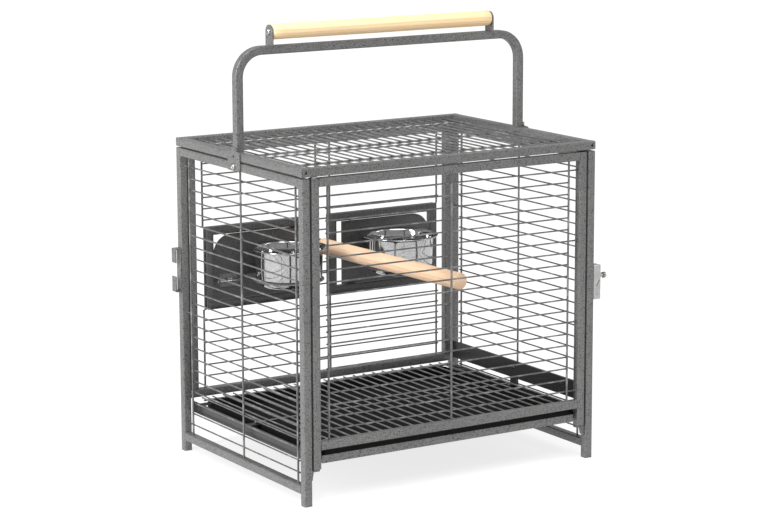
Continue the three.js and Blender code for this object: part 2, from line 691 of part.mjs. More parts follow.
// Outline of the bent bow: inset 0 gives its outside and the wall thickness gives its bore.
function handleOutline(inset, low) {
  const shape = new THREE.Shape();
  const outer = HANDLE_RADIUS - inset;
  const inner = HANDLE_RADIUS - TUBE + inset;
  const curveX = HALF_W - HANDLE_RADIUS;
  const curveZ = HANDLE_TOP - HANDLE_RADIUS;
  const bend = (centreX, radius, start, stop) => {
    const steps = 8;
    for (let k = 0; k <= steps; k += 1) {
      const angle = start + (k / steps) * (stop - start);
      shape.lineTo(centreX + radius * Math.cos(angle), curveZ + radius * Math.sin(angle));
    }
  };
  shape.moveTo(-curveX - outer, low);
  bend(-curveX, outer, Math.PI, Math.PI / 2);
  bend(curveX, outer, Math.PI / 2, 0);
  shape.lineTo(curveX + outer, low);
  shape.lineTo(curveX + inner, low);
  bend(curveX, inner, 0, Math.PI / 2);
  bend(-curveX, inner, Math.PI / 2, Math.PI);
  shape.lineTo(-curveX - inner, low);
  shape.closePath();
  return shape;
}

function handleBow(inset, low) {
  const depth = TUBE - 2 * inset;
  const bow = new THREE.ExtrudeGeometry(handleOutline(inset, low), { depth, bevelEnabled: false });
  return bow.rotateX(Math.PI / 2).translate(0, HANDLE_Y + depth / 2, 0);
}

// Ear: an upright plate with a round top that holds one end of the grip.
function handleEar(s) {
  const shape = new THREE.Shape();
  shape.moveTo(-EAR_RADIUS, HANDLE_TOP - TUBE_WALL / 2);
  shape.lineTo(EAR_RADIUS, HANDLE_TOP - TUBE_WALL / 2);
  shape.lineTo(EAR_RADIUS, GRIP_Z);
  const steps = 8;
  for (let k = 1; k <= steps; k += 1) {
    const angle = (k / steps) * Math.PI;
    shape.lineTo(EAR_RADIUS * Math.cos(angle), GRIP_Z + EAR_RADIUS * Math.sin(angle));
  }
  shape.closePath();
  const ear = new THREE.ExtrudeGeometry(shape, { depth: EAR_THICK, bevelEnabled: false });
  ear.rotateX(Math.PI / 2).rotateZ(Math.PI / 2);
  return ear.translate(s * EAR_X + (s < 0 ? -EAR_THICK : 0), HANDLE_Y, 0);
}

// Foot plate: laps the lid rail and the side rail on the outside and is welded to the leg.
function footPlate(s) {
  const shape = new THREE.Shape();
  shape.moveTo(-FOOT_PLATE_HALF, FOOT_PLATE_LOW);
  shape.lineTo(FOOT_PLATE_HALF, FOOT_PLATE_LOW);
  shape.lineTo(FOOT_PLATE_HALF, LID_TOP + 1);
  shape.lineTo(TUBE / 2, LID_TOP + 2);
  shape.lineTo(TUBE / 2, LID_TOP + FOOT_TONGUE);
  shape.lineTo(-TUBE / 2, LID_TOP + FOOT_TONGUE);
  shape.lineTo(-TUBE / 2, LID_TOP + 2);
  shape.lineTo(-FOOT_PLATE_HALF, LID_TOP + 1);
  shape.closePath();
  const plate = new THREE.ExtrudeGeometry(shape, { depth: EAR_THICK, bevelEnabled: false });
  plate.rotateX(Math.PI / 2).rotateZ(Math.PI / 2);
  return plate.translate(s * HALF_W + (s < 0 ? -EAR_THICK : 0), HANDLE_Y, 0);
}

function addHandle() {
  const welds = [-1, 1].map((s) => block(
    s * HALF_W - TUBE_WALL / 2, s * HALF_W + TUBE_WALL / 2,
    HANDLE_Y - TUBE / 2, HANDLE_Y + TUBE / 2, LID_TOP + 1, LID_TOP + FOOT_TONGUE - 1,
  ));
  const bow = handleBow(0, LID_TOP);
  const parts = [bow, handleEar(-1), handleEar(1), footPlate(-1), footPlate(1), ...welds];
  const gripAxis = (x) => point(x, HANDLE_Y, GRIP_Z);
  const footBolt = (x) => point(x, HANDLE_Y, FOOT_BOLT_Z);
  const screwHoles = [-1, 1].flatMap((s) => [
    rod(gripAxis(s * (EAR_X - 3)), gripAxis(s * (EAR_X + 5)), 2.4, 12),
    rod(footBolt(s * (HALF_W - 0.5)), footBolt(s * (HALF_W + 4)), 2.8, 12),
  ]);
  const holes = [handleBow(TUBE_WALL, LID_TOP - 1), ...screwHoles];
  piece('carry_handle', toGeometry(cut(join(parts), holes)), powderCoat);

  const gripEnd = EAR_X - JOIN;
  const grip = solid(rod(gripAxis(-gripEnd), gripAxis(gripEnd), GRIP_RADIUS, 24));
  const bores = [-1, 1].map((s) => (
    rod(gripAxis(s * (gripEnd - 26)), gripAxis(s * (gripEnd + 1)), 2.3, 12)));
  piece('handle_grip', toGeometry(cut(grip, bores)), pine);
  for (const [side, s] of [['left', -1], ['right', 1]]) {
    piece(`${side}_grip_screw`, toGeometry(sideScrew(s, EAR_X + EAR_THICK, GRIP_Z, 24, 4.5)), zinc);
    piece(`${side}_handle_bolt`, toGeometry(sideScrew(s, HALF_W + EAR_THICK, FOOT_BOLT_Z, 9, 4.5)), zinc);
  }
}

// Screw along X with its head on the outside face at x = face.
function sideScrew(s, face, z, length, headRadius) {
  return join([
    rod(point(s * (face - length), HANDLE_Y, z), point(s * (face + 1), HANDLE_Y, z), 2, 12),
    rod(point(s * (face + 0.1), HANDLE_Y, z), point(s * (face + 3), HANDLE_Y, z), headRadius, 16),
  ]);
}

// ---- perch --------------------------------------------------------------------------------------

function addPerch() {
  const screwY = 178.6;
  const axis = (y) => point(PERCH_BACK.x, y, PERCH_BACK.z);
  const dowel = solid(rod(PERCH_FRONT, PERCH_BACK, PERCH_RADIUS, 24));
  piece('perch', toGeometry(cut(dowel, [rod(axis(142), axis(172), 2.8, 12)])), pine);
  const wing = (s) => block(
    PERCH_BACK.x + Math.min(s * 2, s * 12), PERCH_BACK.x + Math.max(s * 2, s * 12),
    screwY + 3, screwY + 7, PERCH_BACK.z - 1, PERCH_BACK.z + 7,
  );
  const screw = join([
    rod(axis(143), axis(HALF_D + BACK_REACH), 2.5, 12),
    rod(axis(screwY), axis(screwY + 1.5), 10, 20),
    rod(axis(screwY + 1.4), axis(HALF_D + BACK_REACH - 1), 5, 16),
    wing(-1),
    wing(1),
  ]);
  piece('perch_screw', toGeometry(screw), zinc);
}

// ---- latch and belt guide -----------------------------------------------------------------------

// Housing on the outside of the right front post, closed all round but for its open back.
function latchHousing() {
  const wall = 1.2;
  const outer = HALF_W + LATCH_HOUSING_DEPTH;
  const shell = solid(block(HALF_W, outer, -HALF_D, -INNER_Y, LATCH_HOUSING_LOW, LATCH_HOUSING_HIGH));
  const room = block(
    HALF_W + wall, outer - wall,
    -HALF_D + wall, -INNER_Y + 1,
    LATCH_HOUSING_LOW + wall, LATCH_HOUSING_HIGH - wall,
  );
  const pinHole = rod(
    point(HALF_W - 1, -MID_TUBE_Y, LATCH_Z),
    point(outer + 1, -MID_TUBE_Y, LATCH_Z),
    LATCH_PIN_RADIUS + RUNNING_GAP,
    12,
  );
  return cut(shell, [room, pinHole]);
}

function latchPin() {
  const tip = INNER_X + 0.5;
  const collar = HALF_W + 8;
  const end = HALF_W + LATCH_REACH;
  const axis = (x) => point(x, -MID_TUBE_Y, LATCH_Z);
  return join([
    rod(axis(tip), axis(end), LATCH_PIN_RADIUS, 12),
    rod(axis(collar), axis(collar + 1), 4, 16),
    rod(axis(end - 5), axis(end), 4.5, 16),
  ]);
}

// The compressed return spring between the collar and the housing's outer wall.
function latchSpring() {
  const profile = [[3, -0.7], [3.9, -0.7], [3.9, 0.7], [3, 0.7], [3, -0.7]]
    .map(([r, z]) => new THREE.Vector2(r, z));
  const ring = new THREE.LatheGeometry(profile, 16);
  return ring.rotateZ(Math.PI / 2).translate(HALF_W + 9.9, -MID_TUBE_Y, LATCH_Z);
}

// C-shaped guide that a seat belt is laid behind.
function beltGuide() {
  const x = -HALF_W;
  const reach = BELT_REACH;
  const wall = 1.8;
  const [low, high] = [238, 302];
  const outline = [
    [0, low], [-reach, low], [-reach, low + 23], [-reach + wall, low + 23], [-reach + wall, low + wall],
    [-wall, low + wall], [-wall, high - wall], [-reach + wall, high - wall], [-reach + wall, high - 21],
    [-reach, high - 21], [-reach, high], [0, high],
  ];
  const shape = new THREE.Shape(outline.map(([dx, z]) => new THREE.Vector2(x + dx, z)));
  const guide = new THREE.ExtrudeGeometry(shape, { depth: TUBE, bevelEnabled: false });
  return guide.rotateX(Math.PI / 2).translate(0, HALF_D, 0);
}

function addLatchAndBeltGuide() {
  piece('latch_housing', toGeometry(latchHousing()), zinc);
  piece('latch_pin', toGeometry(latchPin()), zinc);
  piece('latch_spring', latchSpring(), zinc);
  piece('belt_guide', beltGuide(), powderCoat);
}

addPosts();
addSideRails();
addSideWires();
addLid();
addFrontDoor();
addBackPanel();
addFeeders();
addFloor();
addHandle();
addPerch();
addLatchAndBeltGuide();

cage.position.set(-(LATCH_REACH - BELT_REACH) / 2, -BACK_REACH / 2, 0);
const assembly = new THREE.Group();
assembly.add(cage);

export default assembly;
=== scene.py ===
"""The looks of a bird's travel carrier cage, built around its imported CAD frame.

Sizes below are millimetres in the cage's own frame: x = 0 and y = 0 in the middle of the box,
+Z up, front at -Y. place() takes them into the row frame in metres.
"""

import math

import bmesh
import bpy
from mathutils import Matrix, Vector, noise


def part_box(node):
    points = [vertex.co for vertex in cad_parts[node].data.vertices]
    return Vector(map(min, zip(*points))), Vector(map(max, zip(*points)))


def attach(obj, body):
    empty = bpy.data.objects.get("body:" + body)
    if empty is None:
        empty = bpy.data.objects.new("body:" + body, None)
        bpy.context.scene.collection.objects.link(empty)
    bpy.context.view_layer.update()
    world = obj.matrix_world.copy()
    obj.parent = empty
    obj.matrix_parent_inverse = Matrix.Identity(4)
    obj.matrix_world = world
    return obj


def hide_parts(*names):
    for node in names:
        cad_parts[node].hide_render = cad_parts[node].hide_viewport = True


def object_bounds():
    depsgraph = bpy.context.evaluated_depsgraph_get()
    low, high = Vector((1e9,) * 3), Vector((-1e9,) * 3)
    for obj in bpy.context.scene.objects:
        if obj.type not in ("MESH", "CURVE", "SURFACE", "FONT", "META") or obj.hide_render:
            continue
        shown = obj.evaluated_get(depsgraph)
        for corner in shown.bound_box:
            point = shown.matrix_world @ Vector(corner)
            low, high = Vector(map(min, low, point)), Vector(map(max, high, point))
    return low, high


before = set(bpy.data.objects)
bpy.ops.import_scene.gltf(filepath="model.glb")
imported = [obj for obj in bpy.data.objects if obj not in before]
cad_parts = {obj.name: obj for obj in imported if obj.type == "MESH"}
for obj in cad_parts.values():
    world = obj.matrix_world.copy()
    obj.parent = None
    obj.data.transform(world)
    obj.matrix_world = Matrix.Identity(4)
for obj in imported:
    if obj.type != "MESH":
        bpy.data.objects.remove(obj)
cad_low, cad_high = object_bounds()

MM = 0.001
lid_low, lid_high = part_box("lid_front_rail")
back_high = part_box("lid_back_rail")[1]
CAGE_ORIGIN = Vector(((lid_low[0] + lid_high[0]) / 2, (lid_low[1] + back_high[1]) / 2, 0.0))

# Driving sizes, as in the CAD
TUBE = 12.0
TUBE_FILLET = 1.7
TUBE_WALL = 1.0
HALF_W = (lid_high[0] - lid_low[0]) / 2 / MM
HALF_D = (back_high[1] - lid_low[1]) / 2 / MM
INNER_X = HALF_W - TUBE
INNER_Y = HALF_D - TUBE
MID_X = HALF_W - TUBE / 2
MID_Y = HALF_D - TUBE / 2
WIRE_RADIUS = 1.12
BAR_RADIUS = 1.5
LAYER = WIRE_RADIUS + BAR_RADIUS - 0.2
SIDES = (("left", -1), ("right", 1))


def place(x, y, z):
    """Cage millimetres to the row frame in metres."""
    return CAGE_ORIGIN + Vector((x, y, z)) * MM


def node_box(node):
    """A CAD node's box in cage millimetres."""
    low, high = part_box(node)
    return (Vector(low) - CAGE_ORIGIN) / MM, (Vector(high) - CAGE_ORIGIN) / MM


# ---- meshes ----


def add_object(name, data):
    obj = bpy.data.objects.new(name, data)
    bpy.context.scene.collection.objects.link(obj)
    return obj


class Piece:
    """A mesh put together from closed parts given in cage millimetres."""

    def __init__(self, name):
        self.name = name
        self.bm = bmesh.new()

    def loft(self, rings, ends="caps"):
        """Skins a row of rings of equal length. ends is caps, or loop where the last ring joins the first."""
        rows = [[self.bm.verts.new(place(*p)) for p in ring] for ring in rings]
        count = len(rows[0])
        pairs = list(zip(rows, rows[1:]))
        if ends == "loop":
            pairs.append((rows[-1], rows[0]))
        for low, high in pairs:
            for i in range(count):
                j = (i + 1) % count
                self.bm.faces.new((low[i], low[j], high[j], high[i]))
        if ends == "caps":
            self.bm.faces.new(list(reversed(rows[0])))
            self.bm.faces.new(rows[-1])

    def rod(self, a, b, radius, sides=12, chamfer=0.3):
        """Round bar from a to b with chamfered ends."""
        a, b = Vector(a), Vector(b)
        along = (b - a).normalized()
        chamfer = min(chamfer, radius * 0.6, (b - a).length * 0.3)
        stations = [(a, radius - chamfer), (a + along * chamfer, radius)]
        stations += [(b - along * chamfer, radius), (b, radius - chamfer)]
        u, v = across(along)
        self.loft([circle(c, r, u, v, sides) for c, r in stations])

    def lathe(self, profile, centre, axis, sides=32):
        """Turns a row of (radius, height) about an axis through centre, with flat ends."""
        axis = Vector(axis).normalized()
        u, v = across(axis)
        centre = Vector(centre)
        self.loft([circle(centre + axis * h, max(r, 0.02), u, v, sides) for r, h in profile])

    def prism(self, outline, depth, matrix):
        """Extrudes a flat outline, given in the matrix's XY plane, along its +Z."""
        low = [matrix @ Vector((x, y, 0)) for x, y in outline]
        high = [matrix @ Vector((x, y, depth)) for x, y in outline]
        self.loft([low, high])

    def block(self, low, high):
        outline = [(low[0], low[1]), (high[0], low[1]), (high[0], high[1]), (low[0], high[1])]
        self.prism(outline, high[2] - low[2], Matrix.Translation((0, 0, low[2])))

    def bead(self, a, b, radius, seed=0):
        """A short welded seam with ripples."""
        a, b = Vector(a), Vector(b)
        along = b - a
        u, v = across(along.normalized())
        steps = max(6, int(along.length / (radius * 0.55)))
        rings = []
        for i in range(steps + 1):
            t = i / steps
            swell = math.sqrt(max(0.05, 1 - (2 * t - 1) ** 6))
            ripple = 1 + 0.12 * math.sin(i * 2.4 + seed)
            rings.append(circle(a + along * t, radius * swell * ripple, u, v, 10))
        self.loft(rings)

    def finish(self, body, material, slot, replaces=(), bevel=0.0, crease=35.0):
        """Turns the parts into an object that rides on a body and stands for CAD nodes."""
        bmesh.ops.recalc_face_normals(self.bm, faces=self.bm.faces)
        for face in self.bm.faces:
            face.smooth = True
        for edge in self.bm.edges:
            edge.smooth = len(edge.link_faces) == 2 and edge.calc_face_angle(0.0) < math.radians(crease)
        mesh = bpy.data.meshes.new(self.name)
        self.bm.to_mesh(mesh)
        self.bm.free()
        mesh.materials.append(material)
        obj = add_object(self.name, mesh)
        if bevel:
            rounding = obj.modifiers.new("edges", "BEVEL")
            rounding.width = bevel * MM
            rounding.segments = 2
            rounding.limit_method = "ANGLE"
            rounding.angle_limit = math.radians(crease)
            rounding.harden_normals = True
        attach(obj, body)
        if replaces:
            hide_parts(*replaces)
        return obj


def across(axis):
    """Two directions at right angles to an axis and to each other."""
    helper = Vector((0, 0, 1)) if abs(axis.z) < 0.9 else Vector((1, 0, 0))
    u = axis.cross(helper).normalized()
    return u, axis.cross(u).normalized()


def circle(centre, radius, u, v, sides):
    angles = [2 * math.pi * i / sides for i in range(sides)]
    return [centre + u * (radius * math.cos(t)) + v * (radius * math.sin(t)) for t in angles]


def rounded_rectangle(half_x, half_y, fillet, steps=4):
    """Outline of a rectangle with round corners, counter-clockwise."""
    points = []
    for k, (sx, sy) in enumerate(((1, 1), (-1, 1), (-1, -1), (1, -1))):
        for i in range(steps + 1):
            angle = math.pi / 2 * (k + i / steps)
            x = sx * (half_x - fillet) + fillet * math.cos(angle)
            y = sy * (half_y - fillet) + fillet * math.sin(angle)
            points.append((x, y))
    return points


def arc(cx, cy, radius, start, stop, steps):
    """Points of a round stretch between two angles in degrees."""
    angles = [math.radians(start + (stop - start) * i / steps) for i in range(steps + 1)]
    return [(cx + radius * math.cos(t), cy + radius * math.sin(t)) for t in angles]


def facing(outline, y, centre_x=0.0, centre_z=0.0):
    """An outline of (x, z) points as a ring at y."""
    return [Vector((centre_x + x, y, centre_z + z)) for x, z in outline]


def block_cutter(low, high):
    cutter = Piece("cutter")
    cutter.block(low, high)
    return cutter


def round_cutter(a, b, radius, sides=20):
    cutter = Piece("cutter")
    cutter.rod(a, b, radius, sides, 0.0)
    return cutter


def carve(obj, cutters):
    """Cuts pieces out of an object's mesh for good."""
    for cutter in cutters:
        mesh = bpy.data.meshes.new("cutter")
        bmesh.ops.recalc_face_normals(cutter.bm, faces=cutter.bm.faces)
        cutter.bm.to_mesh(mesh)
        cutter.bm.free()
        tool = add_object("cutter", mesh)
        hole = obj.modifiers.new("hole", "BOOLEAN")
        hole.operation = "DIFFERENCE"
        hole.object = tool
        hole.solver = "EXACT"
        others = [m for m in obj.modifiers if m != hole and m.show_viewport]
        for modifier in others:
            modifier.show_viewport = False
        bpy.context.view_layer.update()
        cut = bpy.data.meshes.new_from_object(obj.evaluated_get(bpy.context.evaluated_depsgraph_get()))
        for modifier in others:
            modifier.show_viewport = True
        obj.modifiers.remove(hole)
        obj.data = cut
        bpy.data.objects.remove(tool)


# ---- materials ----


class Graph:
    """Short calls for building a node material."""

    def __init__(self, name):
        self.material = bpy.data.materials.new(name)
        self.material.use_nodes = True
        self.tree = self.material.node_tree
        self.shader = next(n for n in self.tree.nodes if n.type == "BSDF_PRINCIPLED")
        self.place = self.add("ShaderNodeTexCoord").outputs["Object"]

    def add(self, kind, **values):
        node = self.tree.nodes.new(kind)
        for key, value in values.items():
            setattr(node, key, value)
        return node

    def link(self, source, target):
        self.tree.links.new(source, target)

    def put(self, **values):
        for key, value in values.items():
            self.shader.inputs[key.replace("_", " ")].default_value = value

    def fill(self, node, vector, **values):
        """Sets a node's inputs by name and places it by a vector, or else by the object."""
        for key, value in values.items():
            node.inputs[key.replace("_", " ")].default_value = value
        self.link(vector or self.place, node.inputs["Vector"])
        return node.outputs

    def stretch(self, scale, vector=None):
        return self.fill(self.add("ShaderNodeMapping"), vector, Scale=scale)["Vector"]

    def noise(self, scale, detail=3.0, roughness=0.55, distortion=0.0, vector=None):
        node = self.add("ShaderNodeTexNoise")
        values = {"Scale": scale, "Detail": detail, "Roughness": roughness, "Distortion": distortion}
        return self.fill(node, vector, **values)["Fac"]

    def cells(self, scale, smooth):
        node = self.add("ShaderNodeTexVoronoi", feature="SMOOTH_F1")
        return self.fill(node, None, Scale=scale, Smoothness=smooth)["Distance"]

    def ramp(self, source, stops):
        """stops: (position, colour or grey level)."""
        node = self.add("ShaderNodeValToRGB")
        elements = node.color_ramp.elements
        while len(elements) < len(stops):
            elements.new(0.5)
        for element, (position, level) in zip(elements, stops):
            element.position = position
            element.color = (*level, 1) if isinstance(level, tuple) else (level, level, level, 1)
        self.link(source, node.inputs["Fac"])
        return node.outputs["Color"]

    def feed(self, socket, value):
        """Gives a socket a number, a colour or the output of another node."""
        if isinstance(value, (int, float)):
            socket.default_value = value
        elif isinstance(value, tuple):
            socket.default_value = (*value, 1)
        else:
            self.link(value, socket)

    def mix(self, factor, a, b, blend="MIX"):
        node = self.add("ShaderNodeMix", data_type="RGBA", blend_type=blend)
        for value, number in ((factor, 0), (a, 6), (b, 7)):
            self.feed(node.inputs[number], value)
        return node.outputs[2]

    def math(self, operation, a, b):
        node = self.add("ShaderNodeMath", operation=operation)
        self.feed(node.inputs[0], a)
        self.feed(node.inputs[1], b)
        return node.outputs[0]

    def bump(self, height, strength, distance_mm, under=None):
        node = self.add("ShaderNodeBump")
        node.inputs["Strength"].default_value = strength
        node.inputs["Distance"].default_value = distance_mm * MM
        self.link(height, node.inputs["Height"])
        if under is not None:
            self.link(under, node.inputs["Normal"])
        return node.outputs["Normal"]

    def colour(self, source):
        self.link(source, self.shader.inputs["Base Color"])

    def rough(self, source, low, high):
        self.link(self.ramp(source, ((0.25, low), (0.75, high))), self.shader.inputs["Roughness"])

    def normal(self, source):
        self.link(source, self.shader.inputs["Normal"])


def grey(level, tint=(1.0, 1.0, 1.0)):
    return tuple(level * c for c in tint)


def worn_and_highlit_edges(g, colour, bare_and_highlight):
    """Lightens the sharpest edges in patches: partly worn bare metal, partly a painted highlight along the
    rounded edges.
    """
    point = g.add("ShaderNodeNewGeometry").outputs["Pointiness"]
    edge = g.ramp(point, ((0.53, 0.0), (0.62, 1.0)))
    patches = g.ramp(g.noise(60.0, 4.0, 0.7), ((0.5, 0.0), (0.68, 0.55)))
    return g.mix(g.math("MULTIPLY", edge, patches), colour, bare_and_highlight)


def hammertone(name, level, spread, cell):
    """Hammered powder coat: a mottle of darker pits and lighter crests."""
    g = Graph(name)
    pits = g.cells(cell, 0.75)
    mottle = g.noise(cell * 0.9, 4.0, 0.62, 0.8)
    blend = g.math("ADD", g.math("MULTIPLY", pits, 0.75), g.math("MULTIPLY", mottle, 0.75))
    dark = grey(level * (1 - spread), (0.99, 1.0, 0.995))
    light = grey(level * (1 + spread), (1.0, 1.0, 0.985))
    coat = g.ramp(blend, ((0.50, dark), (0.60, grey(level)), (0.70, light)))
    drift = g.ramp(g.noise(9.0, 2.0), ((0.3, 0.9), (0.7, 1.08)))
    coat = g.mix(1.0, coat, drift, "MULTIPLY")
    # Sharp edges lightened to 1.9 times the level: edge wear and a painted highlight.
    g.colour(worn_and_highlit_edges(g, coat, grey(level * 1.9)))
    g.rough(mottle, 0.34, 0.52)
    g.put(Metallic=0.28, Coat_Weight=0.25, Coat_Roughness=0.22)
    fine = g.bump(g.noise(2600.0, 2.0), 0.10, 0.05)
    g.normal(g.bump(pits, 0.55, 0.10, fine))
    return g.material


def wire_coat(name, level):
    """The same coat on thin wire, where it flows out smoother."""
    g = Graph(name)
    mottle = g.noise(900.0, 3.0, 0.6)
    coat = g.ramp(mottle, ((0.3, grey(level * 0.8)), (0.55, grey(level)), (0.75, grey(level * 1.25))))
    # Sharp edges lightened: edge wear and a painted highlight.
    g.colour(worn_and_highlit_edges(g, coat, grey(0.5)))
    g.rough(mottle, 0.28, 0.42)
    g.put(Metallic=0.45, Coat_Weight=0.3, Coat_Roughness=0.15)
    g.normal(g.bump(g.noise(1500.0, 3.0), 0.2, 0.06))
    return g.material


def painted_shade_sheet(name):
    g = Graph(name)
    grain = g.noise(1400.0, 3.0, 0.6)
    scuffs = g.noise(30.0, 6.0, 0.75, 1.5, g.stretch((1.0, 0.15, 1.0)))
    # Near-black colour, darker than black paint: painted shade inside the tray under the grate; the lighter
    # streaks are scuffs.
    coat = g.ramp(grain, ((0.3, grey(0.003)), (0.7, grey(0.009))))
    g.colour(g.mix(g.ramp(scuffs, ((0.60, 0.0), (0.75, 0.35))), coat, grey(0.02)))
    g.rough(scuffs, 0.55, 0.75)
    g.put(Specular_IOR_Level=0.12)
    g.normal(g.bump(grain, 0.25, 0.05))
    return g.material


def zinc_plate(name, level):
    """Bright zinc with fine rolling marks and faint cloudy spots."""
    g = Graph(name)
    marks = g.noise(700.0, 4.0, 0.6, 0.0, g.stretch((1.0, 1.0, 0.12)))
    cloud = g.noise(160.0, 4.0, 0.6)
    dull, bright = grey(level * 0.82, (1, 1, 0.98)), grey(level * 1.1, (1, 1, 0.97))
    g.colour(g.ramp(cloud, ((0.3, dull), (0.7, bright))))
    g.rough(cloud, 0.2, 0.36)
    g.put(Metallic=0.95)
    g.normal(g.bump(marks, 0.18, 0.04))
    return g.material


def polished_steel(name):
    """Spun stainless: a mirror with turning marks and water spots."""
    g = Graph(name)
    spots = g.noise(220.0, 5.0, 0.7)
    turning = g.noise(60.0, 2.0, 0.5, 0.0, g.stretch((0.25, 0.25, 22.0)))
    g.colour(g.ramp(spots, ((0.3, grey(0.38)), (0.6, grey(0.50)))))
    g.rough(spots, 0.05, 0.12)
    g.put(Metallic=1.0)
    g.normal(g.bump(turning, 0.05, 0.05))
    return g.material


def softwood(name, along, pith, tone=(1.0, 1.0, 1.0)):
    """Bare pine turned to a rod: growth rings about a line beside it, fibres and pores.

    along is the rod's axis and pith a point on the line that the rings go round, both in the row
    frame. tone multiplies the colour.
    """
    g = Graph(name)
    turn = Vector(along).normalized().rotation_difference(Vector((0, 0, 1)))
    location, rotation = -(turn @ Vector(pith)), turn.to_euler("XYZ")
    grain = g.fill(g.add("ShaderNodeMapping"), None, Location=location, Rotation=rotation)["Vector"]

    def scaled(along_grain):
        return g.stretch((1.0, 1.0, along_grain), grain)

    wave = g.add("ShaderNodeTexWave", wave_type="RINGS", rings_direction="Z", wave_profile="SAW")
    rings = g.fill(wave, scaled(0.045), Scale=95.0, Distortion=2.2, Detail=3.0, Detail_Scale=0.6)["Fac"]
    fibre = g.noise(900.0, 5.0, 0.65, 0.3, scaled(0.02))
    pores = g.noise(2400.0, 2.0, 0.5, 0.0, scaled(0.05))
    tint = g.noise(14.0, 2.0, 0.5, 0.0, scaled(0.3))
    early, late = (0.85, 0.63, 0.40), (0.69, 0.44, 0.22)
    between = (0.82, 0.59, 0.365)
    wood = g.ramp(rings, ((0.0, early), (0.62, between), (0.92, late), (1.0, early)))
    strands = g.ramp(fibre, ((0.3, (0.55, 0.38, 0.20)), (0.7, (0.98, 0.86, 0.66))))
    wood = g.mix(0.22, wood, strands, "OVERLAY")
    wood = g.mix(g.ramp(pores, ((0.62, 0.0), (0.72, 0.35))), wood, (0.50, 0.33, 0.17))
    wood = g.mix(g.ramp(tint, ((0.4, 0.0), (0.75, 0.28))), wood, (0.92, 0.75, 0.54))
    g.colour(g.mix(1.0, wood, tone, "MULTIPLY"))
    g.rough(fibre, 0.52, 0.72)
    g.put(Specular_IOR_Level=0.35)
    g.normal(g.bump(fibre, 0.35, 0.12, g.bump(rings, 0.12, 0.15)))
    return g.material


tube_coat = hammertone("hammertone_tube", 0.085, 0.80, 540.0)
sheet_coat = hammertone("hammertone_sheet", 0.045, 0.60, 560.0)
# The frame's hammertone at a quarter of its level: painted shade on the tray guides and the seed guard low in
# the cage.
guide_coat_painted_shade = hammertone("hammertone_guide_painted_shade", 0.022, 0.60, 620.0)
wires_coat = wire_coat("wire_coat", 0.12)
grate_coat = wire_coat("grate_coat", 0.20)
# Near-black pan: painted shade inside the tray.
pan_painted_shade = painted_shade_sheet("tray_pan")
zinc = zinc_plate("zinc_plate", 0.45)
stainless = polished_steel("polished_steel")


# ---- square tube frame ----


def square_ring(centre, axis, half, fillet):
    """A rounded square around a point, at right angles to the axis number."""
    others = [i for i in range(3) if i != axis]
    ring = []
    for a, b in rounded_rectangle(half, half, fillet):
        point = Vector(centre)
        point[others[0]] += a
        point[others[1]] += b
        ring.append(point)
    return ring


def square_tube(piece, low, high, ends="open"):
    """Tube filling a box; ends are open, or closed with a pressed-in cap."""
    size = high - low
    axis = max(range(3), key=lambda i: size[i])
    middle = (low + high) / 2
    half = TUBE / 2

    def ring(t, inset, fillet):
        centre = Vector(middle)
        centre[axis] = t
        return square_ring(centre, axis, half - inset, fillet)

    a, b = low[axis], high[axis]
    soft = 0.35
    if ends == "open":
        inner = TUBE_FILLET - TUBE_WALL
        rings = [ring(a, soft, TUBE_FILLET - soft), ring(a + soft, 0, TUBE_FILLET)]
        rings += [ring(b - soft, 0, TUBE_FILLET), ring(b, soft, TUBE_FILLET - soft)]
        rings += [ring(b, TUBE_WALL, inner), ring(a, TUBE_WALL, inner)]
        piece.loft(rings, "loop")
        return
    cap = 0.45
    rings = [ring(a, 1.2, 1.0), ring(a + soft / 2, cap, 1.5), ring(a + soft, cap, 1.5)]
    rings += [ring(a + soft, 0, TUBE_FILLET), ring(b - soft, 0, TUBE_FILLET)]
    rings += [ring(b - soft, cap, 1.5), ring(b - soft / 2, cap, 1.5), ring(b, 1.2, 1.0)]
    piece.loft(rings)


def add_tube(node, body, ends="open", cutters=()):
    piece = Piece(node + "_tube")
    square_tube(piece, *node_box(node), ends)
    obj = piece.finish(body, tube_coat, "frame_coat", (node,))
    carve(obj, cutters)


LATCH_Z = 266.0
STRIKE_HALF = 3.2
DOOR_HALF = -node_box("door_left_stile")[0].x
DOOR_OPEN_HALF = DOOR_HALF - TUBE


def pin_hole(x0, x1, radius):
    """Cutter along the latch pin's axis."""
    return round_cutter((x0, -MID_Y, LATCH_Z), (x1, -MID_Y, LATCH_Z), radius)


def frame_tubes():
    for corner in ("left_front", "left_back", "right_back"):
        add_tube(f"{corner}_post", "cage_frame", "closed")
    pin_bore = pin_hole(HALF_W - TUBE - 1, HALF_W + 1, 2.9)
    add_tube("right_front_post", "cage_frame", "closed", [pin_bore])
    for side, _ in SIDES:
        for node in (f"{side}_top_rail", f"{side}_bottom_rail", f"lid_{side}_rail", f"back_{side}_stile"):
            add_tube(node, "cage_frame")
    z = (lid_low[2] + lid_high[2]) / 2 / MM
    corner_holes = [
        round_cutter((s * MID_X, -HALF_D - 2, z), (s * MID_X, -HALF_D + 2.5, z), 2.3) for _, s in SIDES
    ]
    add_tube("lid_front_rail", "cage_frame", "closed", corner_holes)
    add_tube("lid_back_rail", "cage_frame", "closed")
    add_tube("back_top_rail", "cage_frame")
    add_tube("back_bottom_rail", "cage_frame")


def door_tubes():
    add_tube("door_left_stile", "front_door")
    half = STRIKE_HALF
    strike = block_cutter(
        (DOOR_HALF - 2, -MID_Y - half, LATCH_Z - half), (DOOR_HALF + 1, -MID_Y + half, LATCH_Z + half))
    add_tube("door_right_stile", "front_door", "open", [strike])
    add_tube("door_top_rail", "front_door")
    add_tube("door_sill", "front_door")


frame_tubes()
door_tubes()


# ---- wire panels ----

